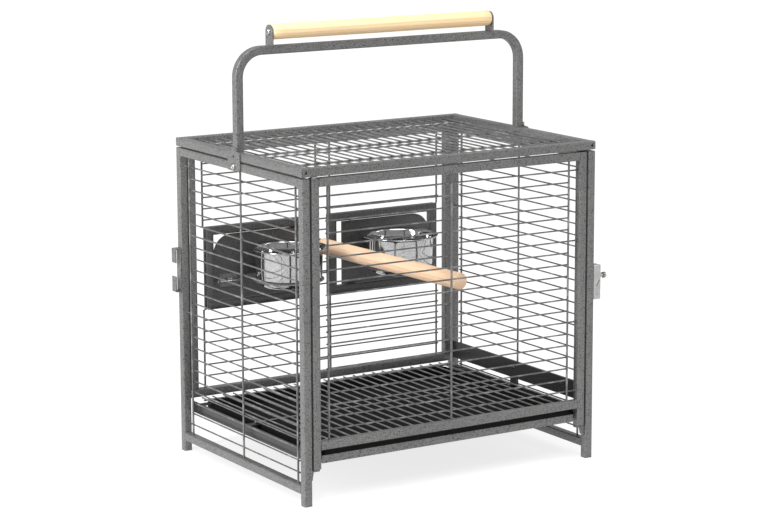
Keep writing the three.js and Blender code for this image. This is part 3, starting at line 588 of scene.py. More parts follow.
SIDE_WIRE_COUNT = 24
SIDE_WIRE_LOW = 42.0
SIDE_WIRE_PITCH = 16.5
SIDE_BAR_Y = 152.0
DOOR_WIRE_COUNT = 20
DOOR_WIRE_LOW = 101.5
DOOR_WIRE_PITCH = 16.85
DOOR_BAR_X = 198.0
BACK_BAR_X = 202.0
BACK_BARS_X = (-BACK_BAR_X, -12.0, 12.0, BACK_BAR_X)
LID_BARS_Y = (-112.0, 0.0, 112.0)
LID_WIRE_COUNT = 26
LID_WIRE_PITCH = 16.8
GRATE_BARS_Y = (-150.0, 0.0, 152.0)
GRATE_WIRE_COUNT = 26
FEEDER_INNER_X = 9.0
END_LAP = 2.0
WELD_IN = 0.3
WELD_RADIUS = 1.9


def weld_spot(piece, centre, direction):
    """A small welded bead where a wire's end meets a tube."""
    profile = [(0.3, -1.1), (0.75, -0.9), (1.0, -0.2), (0.92, 0.5), (0.55, 1.0), (0.2, 1.15)]
    piece.lathe([(r * WELD_RADIUS, h * WELD_RADIUS) for r, h in profile], centre, direction, 10)


def uprights(piece, places, low_z, high_z):
    """Thicker bars that stand between two rails."""
    for x, y in places:
        piece.rod((x, y, low_z - WELD_IN), (x, y, high_z + WELD_IN), BAR_RADIUS)


def cross_wires(piece, count, first_z, pitch, short, opening, spot):
    """Wires up a panel; four of them run on to the tubes beside the opening and are welded there.

    spot turns a place along the wire and a height into a point.
    """
    tied = {count - 1 - k for k in (0, 6, 13, count - 1)}
    for k in range(count):
        z = first_z + k * pitch
        reach = opening + WELD_IN if k in tied else short
        piece.rod(spot(-reach, z), spot(reach, z), WIRE_RADIUS, 10)
        if k in tied:
            for end in (-1, 1):
                weld_spot(piece, spot(end * (opening - 0.4), z), spot(end, 0) - spot(0, 0))


def side_panel(side, s):
    piece = Piece(f"{side}_side_mesh")
    low, high = node_box(f"{side}_side_wires")
    x = s * MID_X
    uprights(piece, [(x, y) for y in (-SIDE_BAR_Y, 0, SIDE_BAR_Y)], low.z, high.z)
    cross_wires(
        piece, SIDE_WIRE_COUNT, SIDE_WIRE_LOW, SIDE_WIRE_PITCH, SIDE_BAR_Y + END_LAP, INNER_Y,
        lambda y, z: Vector((x - s * LAYER, y, z)))
    piece.finish("cage_frame", wires_coat, "wire_coat", (f"{side}_side_wires",))


def lying_grid(piece, low, high, bars_y, count, pitch):
    """Wires along Y in the middle of a panel, at the height of high, on bars along X."""
    bar_z = high.z - LAYER
    for y in bars_y:
        piece.rod((low.x, y, bar_z), (high.x, y, bar_z), BAR_RADIUS)
    for k in range(count):
        x = (k - (count - 1) / 2) * pitch
        piece.rod((x, low.y, high.z), (x, high.y, high.z), WIRE_RADIUS, 10)


def lid_panel():
    piece = Piece("lid_mesh")
    top = node_box("lid_wires")[1].z - WIRE_RADIUS
    corner = Vector((INNER_X + WELD_IN, INNER_Y + WELD_IN, top))
    lying_grid(piece, -corner, corner, LID_BARS_Y, LID_WIRE_COUNT, LID_WIRE_PITCH)
    piece.finish("cage_frame", wires_coat, "wire_coat", ("lid_wires",))


def door_panel():
    piece = Piece("door_mesh")
    low, high = node_box("door_wires")
    uprights(piece, [(x, -MID_Y) for x in (-DOOR_BAR_X, 0, DOOR_BAR_X)], low.z, high.z)
    cross_wires(
        piece, DOOR_WIRE_COUNT, DOOR_WIRE_LOW, DOOR_WIRE_PITCH, DOOR_BAR_X + END_LAP, DOOR_OPEN_HALF,
        lambda x, z: Vector((x, -MID_Y + LAYER, z)))
    piece.finish("front_door", wires_coat, "wire_coat", ("door_wires",))


def back_wires(piece, low_z, high_z, reach):
    """The cross wires of the back between two heights."""
    for k in range(SIDE_WIRE_COUNT):
        z = SIDE_WIRE_LOW + k * SIDE_WIRE_PITCH
        if low_z + 2 < z < high_z - 2:
            piece.rod((-reach, MID_Y - LAYER, z), (reach, MID_Y - LAYER, z), WIRE_RADIUS, 10)


def back_panel():
    for node in ("back_lower_wires", "back_upper_wires"):
        piece = Piece(node.replace("wires", "mesh"))
        low, high = node_box(node)
        uprights(piece, [(x, MID_Y) for x in BACK_BARS_X], low.z, high.z)
        back_wires(piece, low.z, high.z, BACK_BAR_X + END_LAP)
        piece.finish("cage_frame", wires_coat, "wire_coat", (node,))
    between = Piece("back_middle_mesh")
    low, high = node_box("back_middle_wires")
    back_wires(between, low.z, high.z, FEEDER_INNER_X + WELD_IN)
    upright_x = high.x - BAR_RADIUS
    between.rod((upright_x, MID_Y, low.z), (upright_x, MID_Y, high.z), BAR_RADIUS)
    between.finish("cage_frame", wires_coat, "wire_coat", ("back_middle_wires",))


def floor_grate():
    piece = Piece("grate_mesh")
    low, high = node_box("floor_grate")
    high.z = low.z + BAR_RADIUS + LAYER
    pitch = (high.x - low.x - 2 * WIRE_RADIUS) / (GRATE_WIRE_COUNT - 1)
    lying_grid(piece, low, high, GRATE_BARS_Y, GRATE_WIRE_COUNT, pitch)
    piece.finish("lift_grate", grate_coat, "wire_coat", ("floor_grate",))


for side, s in SIDES:
    side_panel(side, s)
lid_panel()
door_panel()
back_panel()
floor_grate()


# ---- carrying handle ----

handle_low, handle_high = node_box("carry_handle")
HANDLE_Y = (handle_low.y + handle_high.y) / 2
LID_TOP = lid_high[2] / MM
BOW_TOP = 606.0
BOW_RADIUS = 42.0
EAR_X = 182.0
EAR_THICK = 2.0
EAR_RADIUS = 10.0
GRIP_Z = 624.5
GRIP_RADIUS = 11.0
FOOT_LOW = handle_low.z
FOOT_HALF = 17.0
FOOT_BOLT_Z = 442.0
FOOT_TONGUE = 7.0
UPPER_HOLE_Z = 456.0
SCREW_RADIUS = 1.9
SCREW_HEAD_RADIUS = 4.5
SCREW_HEAD_HIGH = 3.0


def bow_tube():
    """Bent square tube: up one side, across and down the other."""
    piece = Piece("handle_bow")
    half = TUBE / 2
    bend = BOW_RADIUS - half
    centre_x = HALF_W - BOW_RADIUS
    centre_z = BOW_TOP - BOW_RADIUS
    stations = [(Vector((-MID_X, HANDLE_Y, LID_TOP)), 180.0)]
    steps = 14
    for start, x in ((180.0, -centre_x), (90.0, centre_x)):
        for i in range(steps + 1):
            angle = start - 90.0 * i / steps
            t = math.radians(angle)
            centre = Vector((x + bend * math.cos(t), HANDLE_Y, centre_z + bend * math.sin(t)))
            stations.append((centre, angle))
    stations.append((Vector((MID_X, HANDLE_Y, LID_TOP)), 0.0))
    rings = []
    section = rounded_rectangle(half, half, TUBE_FILLET)
    for centre, angle in stations:
        out = Vector((math.cos(math.radians(angle)), 0, math.sin(math.radians(angle))))
        rings.append([centre + out * a + Vector((0, b, 0)) for a, b in section])
    piece.loft(rings)
    return piece


def upright_plane(x):
    """Matrix whose XY plane is the YZ plane at x, on the handle's centre line, with +Z along +X."""
    return Matrix(((0, 0, 1, x), (1, 0, 0, HANDLE_Y), (0, 1, 0, 0), (0, 0, 0, 1)))


def crosswise_holes(x0, x1, z, radius):
    """A pair of cutters along X, one on each side of the handle."""
    return [round_cutter((s * x0, HANDLE_Y, z), (s * x1, HANDLE_Y, z), radius) for _, s in SIDES]


def handle_plates():
    piece = Piece("handle_plates")
    ear = [(-EAR_RADIUS, BOW_TOP - 0.5), (EAR_RADIUS, BOW_TOP - 0.5)]
    ear += arc(0, GRIP_Z, EAR_RADIUS, 0, 180, 18)
    r = 3.0
    foot = arc(-FOOT_HALF + r, FOOT_LOW + r, r, 180, 270, 5)
    foot += arc(FOOT_HALF - r, FOOT_LOW + r, r, 270, 360, 5)
    right_edge = [(FOOT_HALF, LID_TOP - 1), (FOOT_HALF - 0.8, LID_TOP + 1)]
    right_edge += [(TUBE / 2, LID_TOP + 2), (TUBE / 2, LID_TOP + FOOT_TONGUE)]
    foot += right_edge + [(-x, z) for x, z in reversed(right_edge)]
    for s in (-1, 1):
        ear_x = s * EAR_X - (EAR_THICK if s < 0 else 0)
        foot_x = s * HALF_W - (EAR_THICK if s < 0 else 0)
        piece.prism(ear, EAR_THICK, upright_plane(ear_x))
        piece.prism(foot, EAR_THICK, upright_plane(foot_x))
    obj = piece.finish("cage_frame", tube_coat, "frame_coat", (), 0.35)
    carve(obj, crosswise_holes(HALF_W - 3, HALF_W + 4, UPPER_HOLE_Z, 1.9))


def handle_welds():
    piece = Piece("handle_welds")
    for s in (-1, 1):
        for dy in (-1, 1):
            y = HANDLE_Y + dy * TUBE / 2
            x = s * (HALF_W + 0.1)
            piece.bead((x, y, LID_TOP + 1), (x, y, LID_TOP + FOOT_TONGUE - 1), 0.9, s + dy)
        for dx in (0, EAR_THICK):
            x = s * (EAR_X + dx)
            piece.bead((x, HANDLE_Y - 5.6, BOW_TOP + 0.1), (x, HANDLE_Y + 5.6, BOW_TOP + 0.1), 0.8, dx)
    piece.finish("cage_frame", tube_coat, "frame_coat")


def wooden_rod(name, a, b, radius, material, node, seed, bores):
    """Turned rod: flat ends with a chamfer and a surface that isn't perfectly straight."""
    piece = Piece(name)
    a, b = Vector(a), Vector(b)
    along = (b - a).normalized()
    u, v = across(along)
    length = (b - a).length
    inner = [0, 0.5, 1.2, 2.2]
    stations = inner + [length * i / 24 for i in range(1, 24)] + [length - t for t in reversed(inner)]
    rings = []
    for t in stations:
        edge = min(t, length - t)
        shrink = 2.0 * (1 - min(edge / 2.2, 1.0)) ** 1.6
        centre = a + along * t
        ring = []
        for i in range(40):
            angle = 2 * math.pi * i / 40
            wobble = 0.16 * noise.noise(Vector((math.cos(angle) * 1.3, math.sin(angle) * 1.3, t / 60 + seed)))
            r = radius - 0.1 - shrink + wobble
            ring.append(centre + u * (r * math.cos(angle)) + v * (r * math.sin(angle)))
        rings.append(ring)
    piece.loft(rings)
    carve(piece.finish("cage_frame", material, "pine", (node,), 0.0, 40.0), bores)


def screw_head(piece, centre, axis, radius, height, drive):
    """Pan head with a pressed recess, a cross or a hexagon."""
    axis = Vector(axis).normalized()
    u, v = across(axis)
    centre = Vector(centre)
    sides = 48
    dome = ((0.97, 0), (1, 0.12), (1, 0.3), (0.93, 0.62), (0.78, 0.88), (0.62, 0.97))
    rings = [circle(centre + axis * (height * h), radius * r, u, v, sides) for r, h in dome]

    def recess(scale, h):
        points = []
        for i in range(sides):
            t = 2 * math.pi * i / sides
            if drive == "cross":
                near = (t + math.pi / 4) % (math.pi / 2) - math.pi / 4
                r = min(0.55 * radius / math.cos(near), 0.14 * radius / max(abs(math.sin(near)), 1e-3))
            else:
                near = t % (math.pi / 3) - math.pi / 6
                r = 0.45 * radius / math.cos(near)
            points.append(centre + axis * h + (u * math.cos(t) + v * math.sin(t)) * (r * scale))
        return points

    rings += [recess(1.05, height), recess(1.0, height * 0.95), recess(0.75, height * 0.35)]
    piece.loft(rings)


def pan_screw(name, node, s, face_x, z, length, drive):
    """A screw that goes in from one side, with its head on the face at face_x."""
    piece = Piece(name)
    screw_head(piece, (s * face_x, HANDLE_Y, z), (s, 0, 0), SCREW_HEAD_RADIUS, SCREW_HEAD_HIGH, drive)
    piece.rod((s * (face_x + 0.3), HANDLE_Y, z), (s * (face_x - length), HANDLE_Y, z), SCREW_RADIUS)
    piece.finish("cage_frame", zinc, "zinc", (node,))


def handle_hardware():
    for side, s in SIDES:
        grip_screw, handle_bolt = f"{side}_grip_screw", f"{side}_handle_bolt"
        pan_screw(f"{side}_grip_pan_screw", grip_screw, s, EAR_X + EAR_THICK, GRIP_Z, 23, "cross")
        pan_screw(f"{side}_handle_pan_bolt", handle_bolt, s, HALF_W + EAR_THICK, FOOT_BOLT_Z, 9, "hex")


bow_tube().finish("cage_frame", tube_coat, "frame_coat", ("carry_handle",))
handle_plates()
handle_welds()
handle_hardware()
grip_wood = softwood("pine_grip", (1, 0, 0), place(0, HANDLE_Y + 16, GRIP_Z - 22))
grip_end = EAR_X - 0.3
grip_bores = crosswise_holes(grip_end - 26, grip_end + 2, GRIP_Z, 2.2)
wooden_rod(
    "wooden_grip", (-grip_end, HANDLE_Y, GRIP_Z), (grip_end, HANDLE_Y, GRIP_Z), GRIP_RADIUS, grip_wood,
    "handle_grip", 3.0, grip_bores,
)


# ---- perch ----

PERCH_BACK = Vector((-5.2, 166.6, 282.0))
PERCH_FRONT = Vector((21.5, -165.0, 280.5))
PERCH_RADIUS = 12.0
STUD_Y = (143.0, 187.8)
WASHER_Y = 178.6
perch_wood = softwood("pine_perch", PERCH_FRONT - PERCH_BACK, place(22, 0, 262), (0.90, 0.86, 1.0))
perch_bore = round_cutter((PERCH_BACK.x, 141, PERCH_BACK.z), (PERCH_BACK.x, 172, PERCH_BACK.z), 2.7)
wooden_rod("perch_dowel", PERCH_FRONT, PERCH_BACK, PERCH_RADIUS, perch_wood, "perch", 11.0, [perch_bore])


def perch_fixing():
    piece = Piece("perch_wing_nut")
    x, z = PERCH_BACK.x, PERCH_BACK.z
    face = WASHER_Y
    piece.rod((x, STUD_Y[0], z), (x, STUD_Y[1], z), 2.4)
    washer = [(2.6, 0), (9.6, 0), (10, 0.3), (10, 1.2), (9.6, 1.5), (2.6, 1.5)]
    nut = [(2.6, 1.5), (5.2, 1.5), (5.0, 3.0), (3.8, 7.6), (2.6, 7.8)]
    piece.lathe(washer, (x, face, z), (0, 1, 0), 32)
    piece.lathe(nut, (x, face, z), (0, 1, 0), 24)
    wing = [(2.5, -2.5), (6, -1.5), (10, 1.0), (12, 4.5), (11, 7.0), (8.5, 6.5), (5, 3.0)]
    to_plane = Matrix(((1, 0, 0, x), (0, 0, 1, face + 3.6), (0, 1, 0, z), (0, 0, 0, 1)))
    for s in (-1, 1):
        piece.prism([(s * a, b) for a, b in wing], 2.6, to_plane)
    piece.finish("cage_frame", zinc, "zinc", ("perch_screw",), 0.3)


perch_fixing()


# ---- feeders ----

SHEET = 1.5
FEEDER_BAND = 12.0
FEEDER_OUTER_X = 199.0
FEEDER_BAR_X = 200.2
FEEDER_FACE_Y = 168.0
FEEDER_BACK_Y = 178.0
PIVOT_X = 48.0
PIVOT_Y = 175.0
FLAP_INNER_X = 31.0
FLAP_OUTER_X = 186.0
FLAP_LOW = 219.0
FLAP_HIGH = 315.0
FLAP_Y = 171.0
FLAP_THICK = 2.0
FLAP_CORNER = 29.0
SHELF_Z = 250.5
SHELF_THICK = 2.0
SHELF_HOLE = 46.0
SHELF_RADIUS = 51.5
SHELF_HALF = 44.0
BOWL_X = 95.5
BOWL_Y = 110.0
BOWL_LOW = 241.5
BOWL_RIM = 299.0
BOWL_RIM_RADIUS = 57.0
BOLT_Y = 163.0
BOLT_Z = 247.0
BOLT_KNOB_X = 158.0
BOLT_START_X = 146.0
KNOB_TRAVEL = 12.0
KNOB_SLOT_HALF = (8.5, 2.3)
BARREL = (147.0, 178.0)
BARREL_RADIUS = 6.0
GUIDE_PLATE = 3.0


def feeder_frame(side, s):
    """Folded sheet: face, outer wall and inner lip in one channel round the opening."""
    node = f"{side}_feeder_frame"
    piece = Piece(f"{side}_feeder_surround")
    low, high = node_box(node)
    centre_x, half_x = s * (FEEDER_OUTER_X + FEEDER_INNER_X) / 2, (FEEDER_OUTER_X - FEEDER_INNER_X) / 2
    centre_z, half_z = (low.z + high.z) / 2, (high.z - low.z) / 2
    front, back = FEEDER_FACE_Y, FEEDER_BACK_Y
    bend = 1.4
    outside = [(0, back), (0, front + bend), (bend * 0.3, front + bend * 0.3), (bend, front)]
    inside = [(SHEET + 0.2, front + SHEET), (SHEET, front + SHEET + 0.2), (SHEET, back)]

    def far(points):
        return [(FEEDER_BAND - inset, y) for inset, y in reversed(points)]

    rings = []
    for inset, y in outside + far(outside) + far(inside) + inside:
        fillet = max(0.6, 2.4 - inset * 0.12)
        outline = rounded_rectangle(half_x - inset, half_z - inset, fillet, 3)
        rings.append(facing(outline, y, centre_x, centre_z))
    piece.loft(rings, "loop")
    uprights(piece, [(s * FEEDER_BAR_X, MID_Y - 1)], low.z, high.z)
    piece.finish("cage_frame", sheet_coat, "sheet_coat", (node,))


def flap_outline(s):
    """Plate with one large rounded corner, as seen from inside."""
    corner_x = FLAP_OUTER_X - FLAP_CORNER
    corner = arc(corner_x, FLAP_HIGH - FLAP_CORNER, FLAP_CORNER, 0, 90, 18)
    outline = [(s * FLAP_INNER_X, FLAP_LOW), (s * FLAP_OUTER_X, FLAP_LOW)]
    return outline + [(s * x, z) for x, z in corner] + [(s * FLAP_INNER_X, FLAP_HIGH)]


def shelf_outline(s, inset, back_y):
    """Outline of the shelf: round in front, and straight-sided where it joins the flap."""
    radius = SHELF_RADIUS - inset
    half = SHELF_HALF - inset
    turn = math.degrees(math.acos(half / radius))
    front = arc(0, 0, radius, 180 - turn, 360 + turn, 60)
    outline = [(half, back_y - BOWL_Y)] + list(reversed(front)) + [(-half, back_y - BOWL_Y)]
    return [(s * BOWL_X + x, BOWL_Y + y) for x, y in outline]


def shelf(side, s):
    """The pressed shelf with the round hole that the cup hangs in."""
    piece = Piece(f"{side}_shelf")
    z0, z1 = SHELF_Z, SHELF_Z + SHELF_THICK
    rings = []
    for inset, z in ((0.4, z0), (0.0, z0 + 0.4), (0.0, z1 - 0.4), (0.4, z1)):
        rings.append([Vector((x, y, z)) for x, y in shelf_outline(s, inset, FLAP_Y + 0.5)])
    piece.loft(rings)
    obj = piece.finish(f"{side}_flap", tube_coat, "sheet_coat")
    x = s * BOWL_X
    carve(obj, [round_cutter((x, BOWL_Y, SHELF_Z - 2), (x, BOWL_Y, SHELF_Z + 5), SHELF_HOLE, 96)])


def knob_slot(s, front_y):
    """Cutter for the slot that the bolt's knob slides in."""
    x = s * (BOLT_KNOB_X + KNOB_TRAVEL / 2)
    half_x, half_z = KNOB_SLOT_HALF
    return block_cutter((x - half_x, front_y, BOLT_Z - half_z), (x + half_x, FLAP_Y + 3, BOLT_Z + half_z))


def feeder_flap(side, s):
    node = f"{side}_feeder_flap"
    piece = Piece(f"{side}_feeder_door")
    flat = Matrix(((1, 0, 0, 0), (0, 0, 1, FLAP_Y), (0, 1, 0, 0), (0, 0, 0, 1)))
    piece.prism(flap_outline(s), FLAP_THICK, flat)
    for z in (FLAP_LOW, FLAP_HIGH - FLAP_THICK):
        piece.block((s * PIVOT_X - 8, FLAP_Y, z), (s * PIVOT_X + 8, PIVOT_Y + 4, z + FLAP_THICK))
    obj = piece.finish(f"{side}_flap", sheet_coat, "sheet_coat", (node,), 0.3)
    carve(obj, [knob_slot(s, FLAP_Y - 1)])
    shelf(side, s)
    bolt_barrel(side, s)


def bolt_barrel(side, s):
    """Half-round barrel that the bolt runs in, with a tall guide plate at its end."""
    piece = Piece(f"{side}_bolt_barrel")
    x0, x1 = BARREL

    def along_bolt(outline, a, b):
        piece.loft([[Vector((s * x, y, BOLT_Z + z)) for y, z in outline] for x in (a, b)])

    seat = FLAP_Y + 0.2
    r = BARREL_RADIUS
    round_front = arc(BOLT_Y, 0, r, 100, 260, 10)
    along_bolt([(seat, r), (BOLT_Y, r)] + round_front + [(BOLT_Y, -r), (seat, -r)], x0, x1)
    strap_face, strap_half = FLAP_Y - 1.0, 9.6
    strap = [(seat, strap_half), (strap_face, strap_half), (strap_face, -strap_half), (seat, -strap_half)]
    along_bolt(strap, x0 + 1.5, x1 - 1.5)
    rivet = [(1.5, 0), (1.5, 0.3), (1.0, 0.7), (0.3, 0.9)]
    for x in (x0 + 5, x1 - 5):
        for dz in (-7.8, 7.8):
            piece.lathe(rivet, (s * x, strap_face, BOLT_Z + dz), (0, -1, 0), 14)
    plate = [(BOLT_Y + 1.0 + a, b) for a, b in rounded_rectangle(7.0, 10.0, 2.0)]
    along_bolt(plate, x1, x1 + GUIDE_PLATE)
    obj = piece.finish(f"{side}_flap", tube_coat, "sheet_coat", (), 0.25)
    bore = round_cutter((s * (x0 - 3), BOLT_Y, BOLT_Z), (s * (x1 + 6), BOLT_Y, BOLT_Z), 2.8)
    peep_x, peep_z = s * (x0 + 7), BOLT_Z + 0.8
    peep = round_cutter((peep_x, BOLT_Y - 8, peep_z), (peep_x, BOLT_Y, peep_z), 1.9)
    carve(obj, [bore, peep, knob_slot(s, BOLT_Y)])


def feeder_bolt(side, s):
    piece = Piece(f"{side}_slide_bolt")
    rod = [(1.6, 0), (2.3, 0.5), (2.5, 1.2), (2.5, 36.0), (2.2, 37.4), (1.4, 38.3), (0.4, 38.5)]
    piece.lathe(rod, (s * BOLT_START_X, BOLT_Y, BOLT_Z), (s, 0, 0), 24)
    x = s * BOLT_KNOB_X
    face = node_box(f"{side}_feeder_bolt")[1].y
    piece.rod((x, BOLT_Y, BOLT_Z), (x, face - 5, BOLT_Z), 1.75, 16)
    knob = [(2.2, 0), (4.4, 0.2), (5.0, 1.0), (4.3, 2.2), (4.3, 3.0), (5.0, 4.2), (4.6, 5.4), (2.6, 6.0)]
    piece.lathe(knob, (x, face - 6, BOLT_Z), (0, 1, 0), 32)
    piece.finish(f"{side}_bolt", zinc, "zinc", (f"{side}_feeder_bolt",))


def feeder_pins(side, s):
    """Pivot rivets, with the heads on the far sides of the frame's lips."""
    high_head = [(2.0, 0), (2.7, 0.1), (2.8, 0.8), (2.2, 1.7), (1.0, 2.0)]
    low_head = [(1.0, 0), (2.2, 0.3), (2.8, 1.2), (2.7, 1.9), (2.0, 2.0)]
    for which, head in (("upper", high_head), ("lower", low_head)):
        node = f"{side}_feeder_{which}_pin"
        low, high = node_box(node)
        piece = Piece(f"{side}_{which}_pivot_rivet")
        x, y = s * PIVOT_X, PIVOT_Y
        piece.rod((x, y, low.z), (x, y, high.z), 2.0, 20)
        piece.lathe(head, (x, y, high.z - 2.0 if which == "upper" else low.z), (0, 0, 1), 24)
        piece.finish("cage_frame", zinc, "zinc", (node,))


def bowl(side, s):
    """Spun steel cup: a dished bottom, a step that rests on the shelf, and a flat rolled flange."""
    step = SHELF_Z + SHELF_THICK + 0.25

    def raised(level, *points):
        return [(r, level + h) for r, h in points]

    profile = raised(BOWL_LOW, (0, 1.4), (26, 1.2), (31, 0.2), (35, 0), (39.4, 0.9), (42, 3), (43.2, 6.2))
    profile += raised(step, (43.5, -0.6), (44.1, 0), (46.9, 0.1), (48.2, 0.9), (48.6, 2.6), (49.2, 24))
    profile += raised(BOWL_RIM, (49.7, -4.2), (50.3, -2.6), (51.8, -1.7), (54.6, -1.5))
    rim = 1.0
    profile += arc(BOWL_RIM_RADIUS - 1.1, BOWL_RIM - rim - 0.1, rim, -120, 120, 10)
    profile += raised(BOWL_RIM, (54.2, -0.7), (51.4, -0.8), (49.9, -1.7), (49.0, -3.6))
    profile += raised(step, (48.5, 24), (47.8, 3.4), (47.2, 1.9), (46.2, 1.2), (44, 1), (42.9, 0.4))
    profile += raised(step, (42.6, -1))
    profile += raised(BOWL_LOW, (42.3, 6.6), (41.2, 3.8), (38.9, 1.9), (35, 1), (31, 1.1), (26, 2.1))
    profile += raised(BOWL_LOW, (0, 2.3))
    piece = Piece(f"{side}_steel_cup")
    piece.lathe(profile, (s * BOWL_X, BOWL_Y, 0), (0, 0, 1), 96)
    piece.finish(f"{side}_cup", stainless, "stainless", (f"{side}_bowl",), 0.0, 50.0)


for side, s in SIDES:
    feeder_frame(side, s)
    feeder_flap(side, s)
    feeder_bolt(side, s)
    feeder_pins(side, s)
    bowl(side, s)


# ---- floor ----

GUIDE_FACE_X = 227.5
GUIDE_LEDGE = 30.0
GUIDE_TAB_REACH = 15.0
GUIDE_TAB_HALF = 6.0
GUIDE_TABS_Y = (-140.0, 0.0, 140.0)
GUARD_LOW = 84.0
GUARD_RIVETS_Y = (-120.0, 0.0, 120.0)
TRAY_FLOOR = 60.0
TRAY_HALF = 208.0
TRAY_WALL = 1.2
TRAY_LIP_HIGH = 67.0

def along_y(outline, y0, y1, piece):
    """Extrudes an XZ outline from y0 to y1."""
    piece.loft([facing(outline, y) for y in (y0, y1)])


def tray_guide(side, s):
    """Folded angle that the tray runs on, with three tabs bent in at the top for the grate."""
    node = f"{side}_tray_guide"
    piece = Piece(f"{side}_tray_runner")
    low, high = node_box(node)
    face = GUIDE_FACE_X
    ledge = face - GUIDE_LEDGE
    reach = face - GUIDE_TAB_REACH
    t = SHEET
    r = 1.6
    outer = [(ledge, low.z), (face - r, low.z), (face - r * 0.3, low.z + r * 0.3), (face, low.z + r)]
    outer += [(face, high.z), (face - t, high.z)]
    inner = [(face - t, low.z + t + 0.3), (face - t - 0.3, low.z + t), (ledge, low.z + t)]
    along_y([(s * x, z) for x, z in outer + inner], low.y, high.y, piece)
    tab = [(face - t, high.z - 3), (face - t, high.z), (reach, high.z), (reach, high.z - t)]
    tab += [(face - t - 1.0, high.z - t), (face - t - 0.4, high.z - 3)]
    for y in GUIDE_TABS_Y:
        along_y([(s * x, z) for x, z in tab], y - GUIDE_TAB_HALF, y + GUIDE_TAB_HALF, piece)
    # Frame coat darkened as painted shade.
    piece.finish("cage_frame", guide_coat_painted_shade, "frame_coat", (node,), 0.2)


def seed_guard():
    piece = Piece("seed_guard_strip")
    low, high = node_box("seed_guard")
    piece.block((low.x, low.y, GUARD_LOW), high)
    piece.block((low.x, -8, low.z), (high.x, 8, GUARD_LOW + 1))
    rivet = [(2.9, 0), (2.9, 0.5), (2.1, 1.2), (0.8, 1.5)]
    for y in GUARD_RIVETS_Y:
        piece.lathe(rivet, (low.x, y, high.z - 10), (-1, 0, 0), 20)
    # Frame coat darkened as painted shade.
    piece.finish("cage_frame", guide_coat_painted_shade, "frame_coat", ("seed_guard",), 0.25)


def tray():
    """Pressed pan with round corners, and the folded lip that it is pulled by."""
    low, high = node_box("tray")
    pan = Piece("tray_pan")
    wall = TRAY_WALL
    front = low.y + wall
    half_y = (high.y - front) / 2
    centre_y = (high.y + front) / 2
    rings = []
    for inset, z, fillet in (
        (2.2, TRAY_FLOOR, 7.0), (0.5, TRAY_FLOOR + 0.7, 8.5), (0.2, TRAY_FLOOR + 2.0, 9.0),
        (0.0, high.z - 0.5, 9.0), (0.3, high.z, 8.8), (wall - 0.3, high.z, 8.2),
        (wall, high.z - 0.5, 8.0), (wall + 0.2, TRAY_FLOOR + 2.8, 7.8),
        (wall + 0.8, TRAY_FLOOR + 1.6, 7.2), (wall + 2.4, TRAY_FLOOR + wall, 6.0),
    ):
        outline = rounded_rectangle(TRAY_HALF - inset, half_y - inset, fillet, 6)
        rings.append([Vector((x, centre_y + y, z)) for x, y in outline])
    pan.loft(rings)
    # The pan carries painted shade as its colour.
    pan.finish("slide_tray", pan_painted_shade, "tray_black", ("tray",))
    lip = Piece("tray_lip")
    outline = rounded_rectangle(high.x, (TRAY_LIP_HIGH - low.z) / 2, 1.5, 4)
    centre_z = (low.z + TRAY_LIP_HIGH) / 2
    lip.loft([facing(outline, y, 0, centre_z) for y in (low.y, front)])
    fold = rounded_rectangle(high.x - 1.0, 0.6, 0.5, 2)
    lip.loft([facing(fold, y, 0, low.z + 0.9) for y in (low.y + 0.4, low.y + 5.0)])
    lip.finish("slide_tray", tube_coat, "frame_coat", (), 0.3)


for side, s in SIDES:
    tray_guide(side, s)
seed_guard()
tray()


# ---- door pivots, latch and belt guide ----

PIVOT_PIN_RADIUS = 4.55
TAB_THICK = 2.5
TAB_WEB = 14.0
TAB_Y = (-177.0, -168.0)
HOUSING_WALL = 1.2
SPRING_WIRE = 0.33
SPRING_RADIUS = 3.45
SPRING_TURNS = 2

def pivot_pin(piece, x, low_z, high_z):
    piece.rod((x, -MID_Y, low_z), (x, -MID_Y, high_z), PIVOT_PIN_RADIUS, 28, 0.8)


def pivot_tab(node, name, s):
    """Bent tab under the door; the one at the hinge has a pin, which makes its node reach higher."""
    piece = Piece(name)
    high_z = node_box(node)[1].z
    top = node_box("door_left_stile")[0].z - 1
    under = top - TAB_THICK
    outline = [(INNER_X + 0.3, top), (DOOR_OPEN_HALF + 1, top), (DOOR_OPEN_HALF + 1, under)]
    outline += [(INNER_X - 4, under), (INNER_X - 2, top - TAB_WEB), (INNER_X + 0.3, top - TAB_WEB)]
    along_y([(s * x, z) for x, z in outline], *TAB_Y, piece)
    if high_z > top + 1:
        pivot_pin(piece, s * (DOOR_HALF - TUBE / 2), top - 0.5, high_z)
    piece.finish("cage_frame", tube_coat, "frame_coat", (node,), 0.5)


def upper_pin():
    piece = Piece("upper_pivot")
    low, high = node_box("door_upper_pin")
    pivot_pin(piece, (low.x + high.x) / 2, low.z, high.z + 0.3)
    piece.finish("cage_frame", zinc, "zinc", ("door_upper_pin",))


def belt_guide():
    piece = Piece("belt_hooks")
    low, high = node_box("belt_guide")
    wall = 1.8
    x0, x1 = low.x, high.x
    r = 1.4
    outline = [
        (x1, low.z), (x0 + r, low.z), (x0 + 0.4, low.z + 0.4), (x0, low.z + r), (x0, low.z + 23),
        (x0 + wall, low.z + 23), (x0 + wall, low.z + wall), (x1 - wall, low.z + wall),
        (x1 - wall, high.z - wall), (x0 + wall, high.z - wall), (x0 + wall, high.z - 21),
        (x0, high.z - 21), (x0, high.z - r), (x0 + 0.4, high.z - 0.4), (x0 + r, high.z), (x1, high.z),
    ]
    along_y(outline, low.y, high.y, piece)
    piece.finish("cage_frame", tube_coat, "frame_coat", ("belt_guide",), 0.35)


